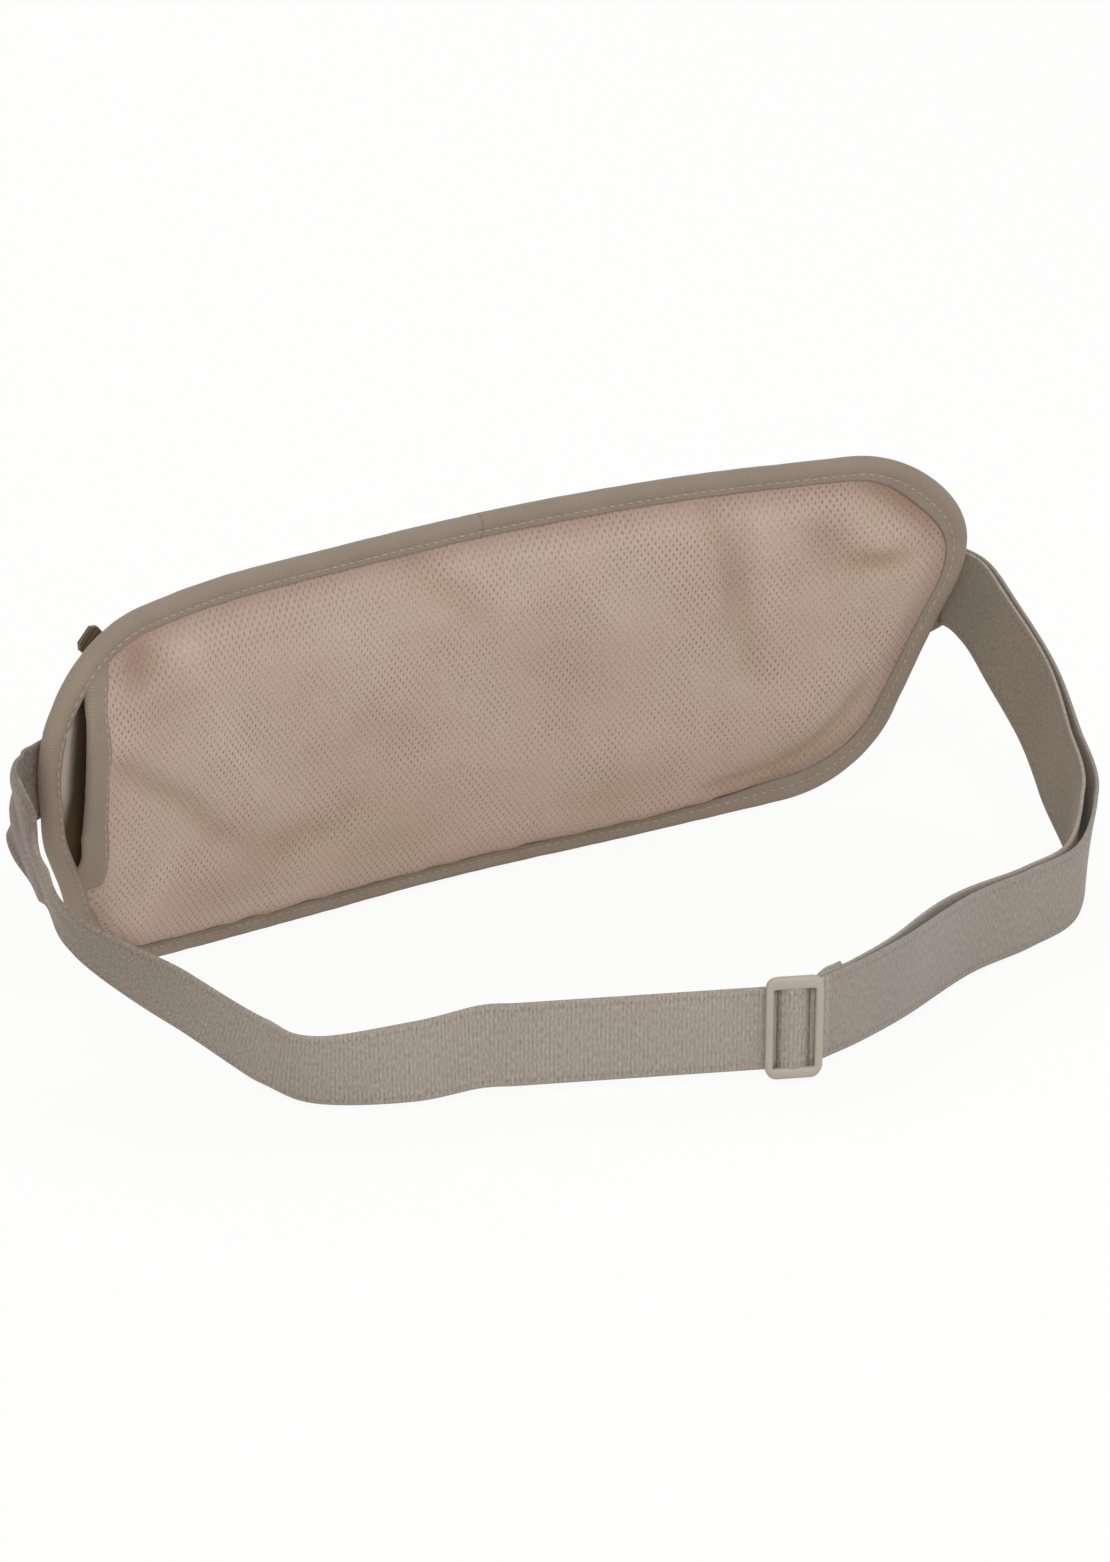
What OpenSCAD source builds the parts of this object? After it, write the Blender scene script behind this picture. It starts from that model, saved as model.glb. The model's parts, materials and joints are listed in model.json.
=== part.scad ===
// Money belt: a bowed zip pouch with a slip pocket on its body side and an adjustable elastic strap
// Frame: X along the pouch, Y from the body side to the front side, Z up, floor at Z = 0

/* [Pouch] */
// Chord width of the pouch at its widest, over the binding (mm)
pouch_w = 320; // [290:1:350]
// Height of the pouch, over the binding (mm)
pouch_h = 120; // [114:1:130]
// Radius of the two upper corners (mm)
shoulder_r = 38; // [34:0.5:42]
// How far the top edge arches above its upper corners (mm)
top_arch = 0.5; // [0.2:0.1:3]
// Radius of the two lower corners (mm)
corner_r = 38.5; // [33:0.5:40]
// How far the lower edge rises on its way to the lower corners (mm)
bottom_rise = 4.5; // [2:0.5:7]
// Half length of the flat of the lower edge that the pouch stands on (mm)
stand_half = 30; // [20:1:40]
// How far the centres of the lower corners lie inside those of the upper corners (mm)
end_slant = 13; // [10:0.5:18]
// Radius that the pouch is bowed to, as when it is worn (mm)
bend_r = 500; // [460:5:560]
// Angle that the pouch leans towards the body by (degrees)
pouch_lean = 8; // [4:0.5:10]

/* [Cloth] */
// Thickness of the spacer mesh (mm)
mesh_t = 1.8; // [1.2:0.1:2.2]
// Thickness of the front cloth (mm)
front_t = 1; // [0.8:0.1:1.2]
// Thickness of the lining cloth (mm)
lining_t = 0.6; // [0.4:0.1:0.8]
// Thickness of the binding tape (mm)
tape_t = 0.6; // [0.5:0.05:0.7]
// Width of the binding tape on each side of the edge (mm)
tape_w = 8; // [7.5:0.25:10]
// Depth of the empty slip pocket (mm)
slip_gap = 6.2; // [5.6:0.1:7]
// Depth of the empty zipped compartment (mm)
main_gap = 4.5; // [4.3:0.1:6]
// Height of the slip pocket mouth (mm)
mouth_h = 62; // [50:1:64]
// Distance from the left end of the pouch to the mouth edge (mm)
mouth_in = 17; // [16:0.5:20]

/* [Zip] */
// Height of the zip (mm)
zip_z = 92; // [89:0.5:93]
// Half length of the zip chain (mm)
zip_half = 122; // [100:1:124]
// Width of one coil of the zip (mm)
coil_w = 2.2; // [1.8:0.1:2.4]
// Width of one zip tape (mm)
zip_tape_w = 6; // [5:0.25:6.5]
// Length of the zip slider (mm)
slider_l = 9; // [8:0.25:11]
// Length of the pull tab from its cross bar (mm)
pull_l = 30; // [24:1:32]
// Angle that the pull tab leans up by (degrees)
pull_tilt = 44; // [30:1:46]

/* [Strap] */
// Width of the elastic strap (mm)
strap_w = 25; // [22:0.5:26]
// Thickness of the elastic strap (mm)
strap_t = 1.3; // [1:0.1:1.5]
// How far the front of the loop stands from the pouch (mm)
loop_depth = 144.5; // [135:0.5:155]
// Height of the strap end at the left end of the pouch (mm)
left_anchor_z = 76; // [72:0.5:80]
// Chord from the left end of the pouch to the start of the straight front run (mm)
left_turn = 88; // [84:1:92]
// Chord from the end of the straight front run to the right end of the pouch (mm)
right_turn = 150; // [146:1:154]
// Angle of the straight front run to the pouch (degrees)
run_angle = -24; // [-27:0.5:-20]

/* [Adjuster] */
// Width of the bars of the adjuster (mm)
bar_w = 3; // [2.6:0.1:3.4]
// Length of the adjuster along the strap (mm)
adjuster_l = 19.4; // [18:0.2:22]
// Thickness of the adjuster bars (mm)
bar_t = 2.1; // [1.8:0.1:2.4]

/* [Hook] */
// Distance from the right end of the pouch to the hook loop (mm)
hook_in = 51; // [46:1:58]
// Height of the hook and of the strap end that it carries (mm)
hook_z = 62; // [58:0.5:64]
// Width of the hook tongue (mm)
tongue_w = 16; // [12:0.5:18]
// Thickness of the hook (mm)
hook_t = 1.7; // [1.5:0.1:2]
// Distance from the middle of the hook loop to the strap slot of the hook (mm)
slot_x = 17.2; // [16.8:0.2:19]

/* [Hidden] */
$fn = 64;
sew_gap = 0.1;
run_gap = 0.3;
skin = 0.01;
arc_steps = 10;
spline_steps = 6;
half_w = pouch_w / 2;
mesh_rim_t = 1.5;
front_rim_t = 1.2;
step_w = 2.6;
mouth_drop = 36;
cut_y = [-80, 40];

// Layers, as distances from the bent middle surface, front side positive
pocket_lining_n = [-sew_gap * 2 - lining_t, -sew_gap * 2];
mesh_rim_n = [pocket_lining_n[0] - sew_gap - mesh_rim_t, pocket_lining_n[0] - sew_gap];
mesh_top_n = [pocket_lining_n[0] - slip_gap - mesh_t, pocket_lining_n[0] - slip_gap];
main_lining_n = [-sew_gap, -sew_gap + lining_t];
front_rim_n = [main_lining_n[1] + sew_gap, main_lining_n[1] + sew_gap + front_rim_t];
front_top_n = [main_lining_n[1] + main_gap, main_lining_n[1] + main_gap + front_t];
tape_in_n = [mesh_rim_n[0] - sew_gap, front_rim_n[1] + sew_gap];
tape_out_n = [tape_in_n[0] - tape_t, tape_in_n[1] + tape_t];
rim_in = tape_t + sew_gap * 2;
step_out = tape_w + step_w;
mouth_x = -half_w + mouth_in;

// Outline of the pouch
shoulder_z = pouch_h - shoulder_r - top_arch;
mouth_z = shoulder_z - mouth_drop;
shoulder_x = half_w - shoulder_r;
corner_x = shoulder_x - end_slant;
corner_z = corner_r + bottom_rise;
corner_d = [shoulder_x - corner_x, shoulder_z - corner_z];
end_angle = atan2(corner_d[0], corner_d[1]) + asin((shoulder_r - corner_r) / norm(corner_d));
crown = pouch_h - shoulder_r;
arch_z = (crown * crown - shoulder_x * shoulder_x - shoulder_z * shoulder_z) / (2 * (crown - shoulder_z));
arch_a = atan2(shoulder_x, shoulder_z - arch_z);
sag_x = corner_x - stand_half;
sag_r = (sag_x * sag_x + corner_z * corner_z - corner_r * corner_r) / (2 * bottom_rise);
sag_a = atan2(sag_x, sag_r - corner_z);

// Zip layers
zip_tape_n = [front_top_n[0] - sew_gap * 2 - lining_t, front_top_n[0] - sew_gap * 2];
coil_gap = 0.6;
coil_n = [zip_tape_n[1] + sew_gap, zip_tape_n[1] + sew_gap + 1.7];
window_half = coil_gap + coil_w + 0.6;
slider_top_n = [max(coil_n[1], front_top_n[1]) + run_gap, max(coil_n[1], front_top_n[1]) + run_gap + 1.1];
slider_low_n = [zip_tape_n[0] - run_gap - 1.1, zip_tape_n[0] - run_gap];
slider_half_w = window_half + 0.8;
slider_x = -zip_half + slider_l / 2 + 2;
slider_z = zip_z - (coil_n[0] + coil_n[1]) / 2 * sin(pouch_lean);
bail_half = slider_l / 2 - 0.9;
bail_t = 1.1;
bail_w = 1.6;
bail_gap = 2.1;
pin_r = 0.6;
pull_n = slider_top_n[1] + bail_gap / 2;
pull_hole = bail_half * 1.5;
pull_half_w = 5;

// Straight front run of the strap
strap_low = bar_w + 0.5;
strap_lift = 0.3;
run_z = strap_low + strap_w / 2;
floor_z = strap_w / 2 + strap_lift;
run_dir = [cos(run_angle), sin(run_angle), 0];
run_start = [-half_w + left_turn, -loop_depth, run_z];
run_l = (pouch_w - left_turn - right_turn) / cos(run_angle);
run_end = run_start + run_dir * run_l;
adjuster_in = 11.5;
adjuster_at = run_l - adjuster_in;
layer_gap = 0.5;
layer = strap_t + layer_gap;
inner_slack = 0.8;
seam = 0.015;

// Adjuster and the sewn strap end on its middle bar
wrap_gap = 0.15;
middle_y = strap_t / 2 + layer_gap + strap_t + wrap_gap;
middle_t = 1.6;
middle_half = 1.6;
tail_l = adjuster_in - run_gap;
sewn_l = tail_l - 3;

// Hook, in a frame that lies on the bent pouch
hook_x = half_w - hook_in;
loop_t = 1.2;
loop_half = 5;
tongue_lift = 0.8;
tongue_n = [front_top_n[1] + tongue_lift, front_top_n[1] + tongue_lift + hook_t];
bridge_n = [tongue_n[1] + run_gap, tongue_n[1] + run_gap + loop_t];
plate_n = [bridge_n[1] + run_gap, bridge_n[1] + run_gap + hook_t];
foot_l = 7;
bend_x = loop_half + 4.5;
slot_l = 4.6;
bar_l = 3.6;
hook_half_w = strap_w / 2 + 3.8;
strap_n = (plate_n[0] + plate_n[1]) / 2;
wrap_half_n = hook_t / 2 + wrap_gap + strap_t / 2;
hook_end_x = slot_x + slot_l + bar_l;

// Points on one edge arc, clockwise from the top
function arc(x, z, r, a0, a1) =
  [for (k = [0 : arc_steps]) let (a = a0 + (a1 - a0) * k / arc_steps) [x + r * sin(a), z + r * cos(a)]];

// Right half of the outline, moved inward
function half_outline(inset) = concat(
  arc(0, arch_z, pouch_h - arch_z - inset, arch_a / arc_steps, arch_a * (1 - 1 / arc_steps)),
  arc(shoulder_x, shoulder_z, shoulder_r - inset, arch_a, 90 + end_angle),
  arc(corner_x, corner_z, corner_r - inset, 90 + end_angle, 180 - sag_a),
  arc(stand_half, sag_r, sag_r - inset, 180 - sag_a * (1 - 1 / arc_steps), 180)
);

// Whole outline, moved inward
function outline(inset) = let (h = half_outline(inset), n = len(h))
  concat(h, [for (k = [n - 1 : -1 : 0]) [-h[k][0], h[k][1]]]);

// Radius of the bent surface at a height, and at a distance out of its middle
function bend_at(z, n) = bend_r + n / cos(pouch_lean) - z * tan(pouch_lean);

// Angle round the bend of a chord position at a height
function bend_angle(x, z) = asin(x / bend_at(z, 0));

// Place on the bent middle surface, from chord position, height and distance out
function on_bend(x, z, n) = let (a = bend_angle(x, z), r = bend_at(z, 0) + n * cos(pouch_lean))
  [r * sin(a), r * cos(a) - bend_r, z + n * sin(pouch_lean)];

// Direction along the bent surface at a chord position and height
function bend_dir(x, z) = let (a = bend_angle(x, z)) [cos(a), -sin(a), 0];

// Smooth curve through stations, at a place counted in stations
function spline(p, i, t) = 0.5 * (2 * p[i] + (p[i + 1] - p[i - 1]) * t
  + (2 * p[i - 1] - 5 * p[i] + 4 * p[i + 1] - p[i + 2]) * t * t
  + (3 * p[i] - p[i - 1] - 3 * p[i + 1] + p[i + 2]) * t * t * t);
function curve_at(p, u) = let (i = max(1, min(floor(u), len(p) - 3))) spline(p, i, u - i);

function unit(v) = v / norm(v);
function place(c) = [c[0], c[1], c[2]];
function along(p, u) = unit(place(curve_at(p, u + skin)) - place(curve_at(p, u - skin)));
function upright(t) = unit([0, 0, 1] - t * t[2]);
function across(t, lean) = upright(t) * cos(lean) + cross(t, upright(t)) * sin(lean);

// Four corners of the strap section at one place on a route, moved out of its middle by off
function section(p, u, off) =
  let (c = curve_at(p, u), t = along(p, u), w = across(t, c[3]), n = cross(t, w), m = place(c) + n * off)
    [for (s = [[-1, -1], [1, -1], [1, 1], [-1, 1]]) m + w * s[0] * strap_w / 2 + n * s[1] * strap_t / 2];

// Routes of the strap: place and lean at each station, with a guide station at both ends
end_y = on_bend(half_w, left_anchor_z, 0)[1];
sewn_n = tape_out_n[1] + sew_gap + strap_t / 2;
left_route = [
  [each on_bend(-half_w + 30, left_anchor_z + 4, sewn_n), -pouch_lean],
  [each on_bend(-half_w + 11, left_anchor_z + 1, sewn_n), -pouch_lean],
  [each on_bend(-half_w + 1.6, left_anchor_z - 1, sewn_n + 0.6), -pouch_lean],
  [-half_w - 3.2, end_y + 4.5, left_anchor_z - 1, -13],
  [-half_w - 8.5, end_y + 0.8, left_anchor_z - 3.4, -2],
  [-half_w - 10.9, end_y - 12, left_anchor_z - 10.6, 4],
  [-half_w - 11.7, end_y - 22.8, left_anchor_z - 18.5, 18],
  [-half_w - 7.7, end_y - 34.1, left_anchor_z - 31.4, 38],
  [-half_w + 11.5, 51.7 - loop_depth, floor_z + 16.4, 25],
  [-half_w + 25.3, 31.4 - loop_depth, floor_z + 5.2, 19],
  [-half_w + 35.2, 19.1 - loop_depth, floor_z + 1.4, 19],
  [-half_w + 59.3, 7.6 - loop_depth, floor_z + 2.2, 4.5],
  [each run_start - run_dir * 10, 0],
  [each run_start, 0],
  [each run_start + run_dir * 10, 0]
];
left_first = 1;
left_last = len(left_route) - 2;

hook_end = on_bend(hook_x, hook_z, strap_n);
hook_dir = bend_dir(hook_x, hook_z);
right_route = [
  [each run_end - run_dir * 4, 0],
  [each run_end, 0],
  [each run_end + run_dir * 4, 0],
  [run_end[0] + 14, run_end[1] + 6, run_z + 1.6, 0],
  [run_end[0] + 38, run_end[1] + 14, run_z - 0.3, 0],
  [half_w - 75, -1.5 - loop_depth, floor_z + 0.3, 0],
  [half_w - 48, 4.8 - loop_depth, floor_z, 0],
  [half_w - 25, 12 - loop_depth, floor_z + 1.2, 3],
  [half_w - 9, 28 - loop_depth, floor_z + 10.5, 8],
  [half_w - 2, 48 - loop_depth, floor_z + 21.5, 13],
  [half_w + 4.5, end_y - 38, hook_z - 17, 16],
  [half_w + 8, end_y - 16, hook_z - 5.5, 15],
  [half_w + 10.5, end_y - 1, hook_z + 1, 12],
  [half_w + 9, end_y + 8, hook_z + 3.6, 7],
  [half_w + 3.5, end_y + 14.6, hook_z + 4, 0],
  [each hook_end + hook_dir * (hook_end_x + 20), -pouch_lean],
  [each hook_end + hook_dir * (hook_end_x + 1), -pouch_lean],
  [each hook_end + hook_dir * (hook_end_x - 9), -pouch_lean]
];
right_first = 1;
right_inner = 3;
right_last = len(right_route) - 2;

// One piece of strap along a route, between two places counted in stations
module strap_piece(p, u, off) {
  n = ceil((u[1] - u[0]) * spline_steps);
  points = [for (i = [0 : n]) each section(p, u[0] + (u[1] - u[0]) * i / n, off[0] + (off[1] - off[0]) * i / n)];
  sides = [for (i = [0 : n - 1]) for (k = [0 : 3]) let (a = 4 * i + k, b = 4 * i + (k + 1) % 4)
    each [[a, b, b + 4], [a, b + 4, a + 4]]];
  ends = [[0, 2, 1], [0, 3, 2], [4 * n, 4 * n + 1, 4 * n + 2], [4 * n, 4 * n + 2, 4 * n + 3]];
  polyhedron(points = points, faces = concat(sides, ends), convexity = 8);
}

// Solid between two bent surfaces, all round
module bent_shell(n) {
  z = [-1, pouch_h + 1];
  translate([0, -bend_r, 0]) rotate_extrude($fn = 180)
    polygon([[bend_at(z[0], n[0]), z[0]], [bend_at(z[0], n[1]), z[0]],
      [bend_at(z[1], n[1]), z[1]], [bend_at(z[1], n[0]), z[1]]]);
}

// Solid of the outline, moved inward, through all the layers
module in_outline(inset) {
  translate([0, cut_y[1], 0]) rotate([90, 0, 0]) linear_extrude(cut_y[1] - cut_y[0]) polygon(outline(inset));
}

// Box through all the layers, from chord positions and heights
module through_box(x, z) {
  translate([x[0], cut_y[0], z[0]]) cube([x[1] - x[0], cut_y[1] - cut_y[0], z[1] - z[0]]);
}

// One layer of the pouch, with the outline moved inward
module layer_of(inset, n) {
  intersection() {
    bent_shell(n);
    in_outline(inset);
  }
}

// Part of a layer in a box of chord positions and heights
module bent_box(x, z, n) {
  intersection() {
    bent_shell(n);
    through_box(x, z);
  }
}

// Local frame on the bent surface: X along it, Y out of it
module at_bend(x, z) {
  translate([0, -bend_r, 0]) rotate([0, 0, -bend_angle(x, z)]) translate([0, bend_at(z, 0), z])
    rotate([pouch_lean, 0, 0]) children();
}

// Local frame on the straight front run
module on_run(distance) {
  translate([each (run_start + run_dir * distance)]) rotate([0, 0, run_angle]) children();
}

module back_mesh_panel() {
  mouth_box = [mouth_z, mouth_z + mouth_h];
  color("#b3a08f") difference() {
    union() {
      layer_of(rim_in, mesh_rim_n);
      layer_of(step_out, [mesh_top_n[0], mesh_rim_n[1]]);
      intersection() {
        layer_of(rim_in, mesh_top_n);
        through_box([mouth_x, mouth_x + 40], mouth_box);
      }
    }
    layer_of(step_out + mesh_t, [mesh_top_n[1], mesh_rim_n[1] + skin]);
    bent_box([-half_w - 10, mouth_x + 30], mouth_box, [mesh_top_n[1], mesh_rim_n[1] + skin]);
    bent_box([-half_w - 10, mouth_x], mouth_box, [mesh_top_n[0] - 1, mesh_rim_n[1] + skin]);
  }
}

module pocket_mouth_binding() {
  z = [mouth_z + 2.5, mouth_z + mouth_h - 2.5];
  color("#8f8273") intersection() {
    difference() {
      bent_box([mouth_x - tape_t - sew_gap, mouth_x + tape_w], z,
        [mesh_top_n[0] - sew_gap - tape_t, mesh_top_n[1] + sew_gap + tape_t]);
      bent_box([mouth_x - sew_gap, mouth_x + tape_w + 1], [z[0] - 1, z[1] + 1],
        [mesh_top_n[0] - sew_gap, mesh_top_n[1] + sew_gap]);
    }
    in_outline(tape_w + 0.4);
  }
}

module pocket_lining() {
  color("#9c907f") layer_of(rim_in, pocket_lining_n);
}

module main_lining() {
  color("#94897a") layer_of(rim_in, main_lining_n);
}

module front_tray() {
  difference() {
    union() {
      layer_of(rim_in, front_rim_n);
      layer_of(step_out, [front_rim_n[0], front_top_n[1]]);
    }
    layer_of(step_out + front_t, [front_rim_n[0] - skin, front_top_n[0]]);
    bent_box([-zip_half - 1, zip_half + 1], [zip_z - window_half, zip_z + window_half],
      [front_top_n[0] - 1, front_top_n[1] + 1]);
  }
}

module front_top_panel() {
  color("#988c7c") intersection() {
    front_tray();
    through_box([-half_w, half_w], [zip_z + sew_gap, pouch_h]);
  }
}

module front_main_panel() {
  color("#988c7c") intersection() {
    front_tray();
    through_box([-half_w, half_w], [0, zip_z - sew_gap]);
  }
}

module edge_binding() {
  color("#8f8273") difference() {
    layer_of(0, tape_out_n);
    layer_of(tape_t, tape_in_n);
    layer_of(tape_w, [tape_out_n[0] - 1, tape_out_n[1] + 1]);
  }
}

module zip_tape(side) {
  z = [coil_gap, coil_gap + zip_tape_w];
  bent_box([-zip_half - 1.5, zip_half + 1.5],
    side > 0 ? [zip_z + z[0], zip_z + z[1]] : [zip_z - z[1], zip_z - z[0]], zip_tape_n);
}

module zip_upper_tape() {
  color("#877a6b") zip_tape(1);
}

module zip_lower_tape() {
  color("#877a6b") zip_tape(-1);
}

module zip_coil(side) {
  z = [coil_gap, coil_gap + coil_w];
  bent_box([-zip_half + 1.4, zip_half - 1.4],
    side > 0 ? [zip_z + z[0], zip_z + z[1]] : [zip_z - z[1], zip_z - z[0]], coil_n);
}

module zip_upper_coil() {
  color("#5b4f42") zip_coil(1);
}

module zip_lower_coil() {
  color("#5b4f42") zip_coil(-1);
}

module zip_stop(x) {
  bent_box([x - 0.55, x + 0.55], [zip_z - coil_gap - coil_w, zip_z + coil_gap + coil_w], coil_n);
}

module zip_left_stop() {
  color("#6a5d4e") zip_stop(-zip_half + 0.6);
}

module zip_right_stop() {
  color("#6a5d4e") zip_stop(zip_half - 0.6);
}

module centred_box(x, n, half_z) {
  translate([x[0], n[0], -half_z]) cube([x[1] - x[0], n[1] - n[0], 2 * half_z]);
}

// Flat outline made a plate between two distances out
module flat_plate(n) {
  translate([0, n[1], 0]) rotate([90, 0, 0]) linear_extrude(n[1] - n[0]) children();
}

// Plate of the zip slider, with the wide end towards the open side of the zip
module slider_plate(n) {
  end = slider_l / 2;
  wide = slider_half_w;
  flat_plate(n) polygon([[-end, wide * 0.55], [-end * 0.8, wide], [-end * 0.1, wide], [end * 0.8, wide * 0.72],
    [end, wide * 0.5], [end, -wide * 0.5], [end * 0.8, -wide * 0.72], [-end * 0.1, -wide],
    [-end * 0.8, -wide], [-end, -wide * 0.55], [-end * 0.72, 0]]);
}

module zip_slider() {
  post = slider_l * 0.3;
  color("#5b4f42") at_bend(slider_x, slider_z) {
    slider_plate(slider_top_n);
    slider_plate(slider_low_n);
    centred_box([-post, post], [slider_low_n[0], slider_top_n[1]], coil_gap / 2);
    translate([0, slider_top_n[1] + bail_gap / 2, 0]) linear_extrude(bail_w, center = true) difference() {
      rounded_box(bail_half, bail_gap / 2 + bail_t, bail_t);
      square([2 * (bail_half - bail_t), bail_gap], center = true);
    }
  }
}

module pull_tab() {
  grip_x = pull_hole + pin_r + 3;
  color("#5b4f42") at_bend(slider_x, slider_z) translate([0, pull_n, 0]) rotate([0, pull_tilt, 0]) {
    translate([0, 0, -pull_half_w]) cylinder(r = pin_r, h = 2 * pull_half_w);
    rotate([90, 0, 0]) linear_extrude(2 * pin_r, center = true) difference() {
      polygon([[0, -pull_half_w], [0, pull_half_w], [-pull_hole - 2, pull_half_w], [-grip_x, 3.4],
        [-pull_l + 2, 4.2], [-pull_l, 2.8], [-pull_l, -2.8], [-pull_l + 2, -4.2], [-grip_x, -3.4],
        [-pull_hole - 2, -pull_half_w]]);
      translate([-pull_hole, -pull_half_w + 1.3]) square([pull_hole, 2 * pull_half_w - 2.6]);
    }
    for (k = [0 : 4])
      translate([-grip_x - 2 - k * (pull_l - grip_x - 4) / 4, pin_r, 0])
        cylinder(r = 0.45, h = 5.6, center = true);
  }
}

module hook_loop() {
  leg = tongue_w / 2 + 0.8;
  low = front_top_n[1] + sew_gap * 2;
  color("#857868") at_bend(hook_x, hook_z) translate([-loop_half, 0, 0]) rotate([90, 0, 90])
    linear_extrude(2 * loop_half) polygon([
      [low, -leg - foot_l], [low, -leg], [bridge_n[0], -leg], [bridge_n[0], leg], [low, leg],
      [low, leg + foot_l], [low + loop_t, leg + foot_l], [low + loop_t, leg + loop_t],
      [bridge_n[1], leg + loop_t], [bridge_n[1], -leg - loop_t], [low + loop_t, -leg - loop_t],
      [low + loop_t, -leg - foot_l]
    ]);
}

module closure_hook() {
  back_x = bend_x + hook_t;
  tip_x = loop_half + 2;
  head_x = slot_x - 3;
  color("#4a4038") at_bend(hook_x, hook_z) {
    flat_plate(tongue_n) {
      translate([tip_x / 2 - back_x / 2, 0]) rounded_box((tip_x + back_x) / 2, tongue_w / 2, hook_t);
    }
    centred_box([-back_x, -bend_x], [tongue_n[0], plate_n[1]], tongue_w / 2 - hook_t);
    flat_plate(plate_n) difference() {
      union() {
        translate([(head_x + 2 - back_x) / 2, 0]) rounded_box((head_x + 2 + back_x) / 2, tongue_w / 2, hook_t);
        translate([(hook_end_x + head_x) / 2, 0])
          rounded_box((hook_end_x - head_x) / 2, hook_half_w, bar_l - 1);
      }
      translate([slot_x + slot_l / 2, 0]) square([slot_l, strap_w + 1.2], center = true);
    }
  }
}

module hook_strap_end() {
  in_r = hook_t / 2 + wrap_gap;
  turn_x = slot_x + slot_l - 0.1;
  color("#857868") at_bend(hook_x, hook_z) translate([0, strap_n, -strap_w / 2]) linear_extrude(strap_w)
    difference() {
      union() {
        translate([turn_x, 0]) circle(r = in_r + strap_t);
        translate([turn_x, -in_r - strap_t]) square([hook_end_x + 1 - turn_x - run_gap, 2 * (in_r + strap_t)]);
      }
      translate([turn_x, 0]) circle(r = in_r);
      translate([turn_x, -in_r]) square([hook_end_x, 2 * in_r]);
    }
}

module left_strap() {
  color("#968b7d") strap_piece(left_route, [left_first, left_last], [0, 0]);
}

module front_strap() {
  color("#9a9083") on_run(run_gap) translate([0, -strap_t / 2, -strap_w / 2])
    cube([run_l - 2 * run_gap, strap_t, strap_w]);
}

module right_outer_strap() {
  color("#90857a") strap_piece(right_route, [right_first, right_last - 1 - seam], [0, 0]);
}

module right_inner_strap() {
  color("#857868") strap_piece(right_route, [right_inner, right_last - 1 - seam], [-layer, -layer - inner_slack]);
}

module adjust_strap() {
  color("#857868") strap_piece(right_route, [right_first, right_inner - seam], [-layer, -layer]);
}

module hook_outer_strap() {
  color("#857868") strap_piece(right_route, [right_last - 1, right_last], [0, wrap_half_n]);
}

module hook_inner_strap() {
  color("#857868") strap_piece(right_route, [right_last - 1, right_last], [-layer - inner_slack, -wrap_half_n]);
}

// Rectangle with rounded corners, from its half sizes
module rounded_box(half_x, half_y, r) {
  square([2 * half_x, 2 * (half_y - r)], center = true);
  square([2 * (half_x - r), 2 * half_y], center = true);
  for (x = [-1, 1])
    for (y = [-1, 1])
      translate([x * (half_x - r), y * (half_y - r)]) circle(r = r);
}

module adjuster_frame() {
  half_l = adjuster_l / 2;
  front_y = -strap_t / 2 - run_gap - bar_t;
  rail_z = strap_w / 2 + 0.5;
  color("#a1978a") on_run(adjuster_at) {
    flat_plate([front_y, front_y + bar_t]) difference() {
      rounded_box(half_l, rail_z + bar_w, bar_w);
      rounded_box(half_l - bar_w, rail_z, bar_w / 4);
    }
    for (z = [-rail_z - bar_w, rail_z])
      translate([-middle_half, front_y, z]) cube([2 * middle_half, middle_y + middle_t - front_y, bar_w]);
    translate([-middle_half, middle_y, -rail_z - bar_w / 2])
      cube([2 * middle_half, middle_t, 2 * rail_z + bar_w]);
  }
}

module adjuster_strap_end() {
  in_y = middle_y - wrap_gap;
  out_y = middle_y + middle_t + wrap_gap;
  turn_x = middle_half + wrap_gap;
  color("#857868") on_run(adjuster_at) translate([0, 0, -strap_w / 2]) linear_extrude(strap_w)
    difference() {
      polygon([[-turn_x - strap_t, in_y - strap_t], [tail_l, in_y - strap_t], [tail_l, in_y],
        [sewn_l, in_y], [sewn_l, in_y + strap_t], [turn_x + 4, in_y + strap_t],
        [turn_x + 1, out_y + strap_t], [-turn_x, out_y + strap_t], [-turn_x - strap_t, out_y]]);
      translate([-turn_x, in_y]) square([2 * turn_x, out_y - in_y]);
    }
}

back_mesh_panel();
pocket_mouth_binding();
pocket_lining();
main_lining();
front_top_panel();
front_main_panel();
edge_binding();
zip_upper_tape();
zip_lower_tape();
zip_upper_coil();
zip_lower_coil();
zip_left_stop();
zip_right_stop();
zip_slider();
pull_tab();
hook_loop();
closure_hook();
hook_strap_end();
left_strap();
front_strap();
right_outer_strap();
right_inner_strap();
adjust_strap();
hook_outer_strap();
hook_inner_strap();
adjuster_frame();
adjuster_strap_end();
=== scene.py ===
import json
import math

import bpy
import numpy as np
from bpy.props import FloatProperty, PointerProperty, StringProperty
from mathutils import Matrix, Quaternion, Vector


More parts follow.
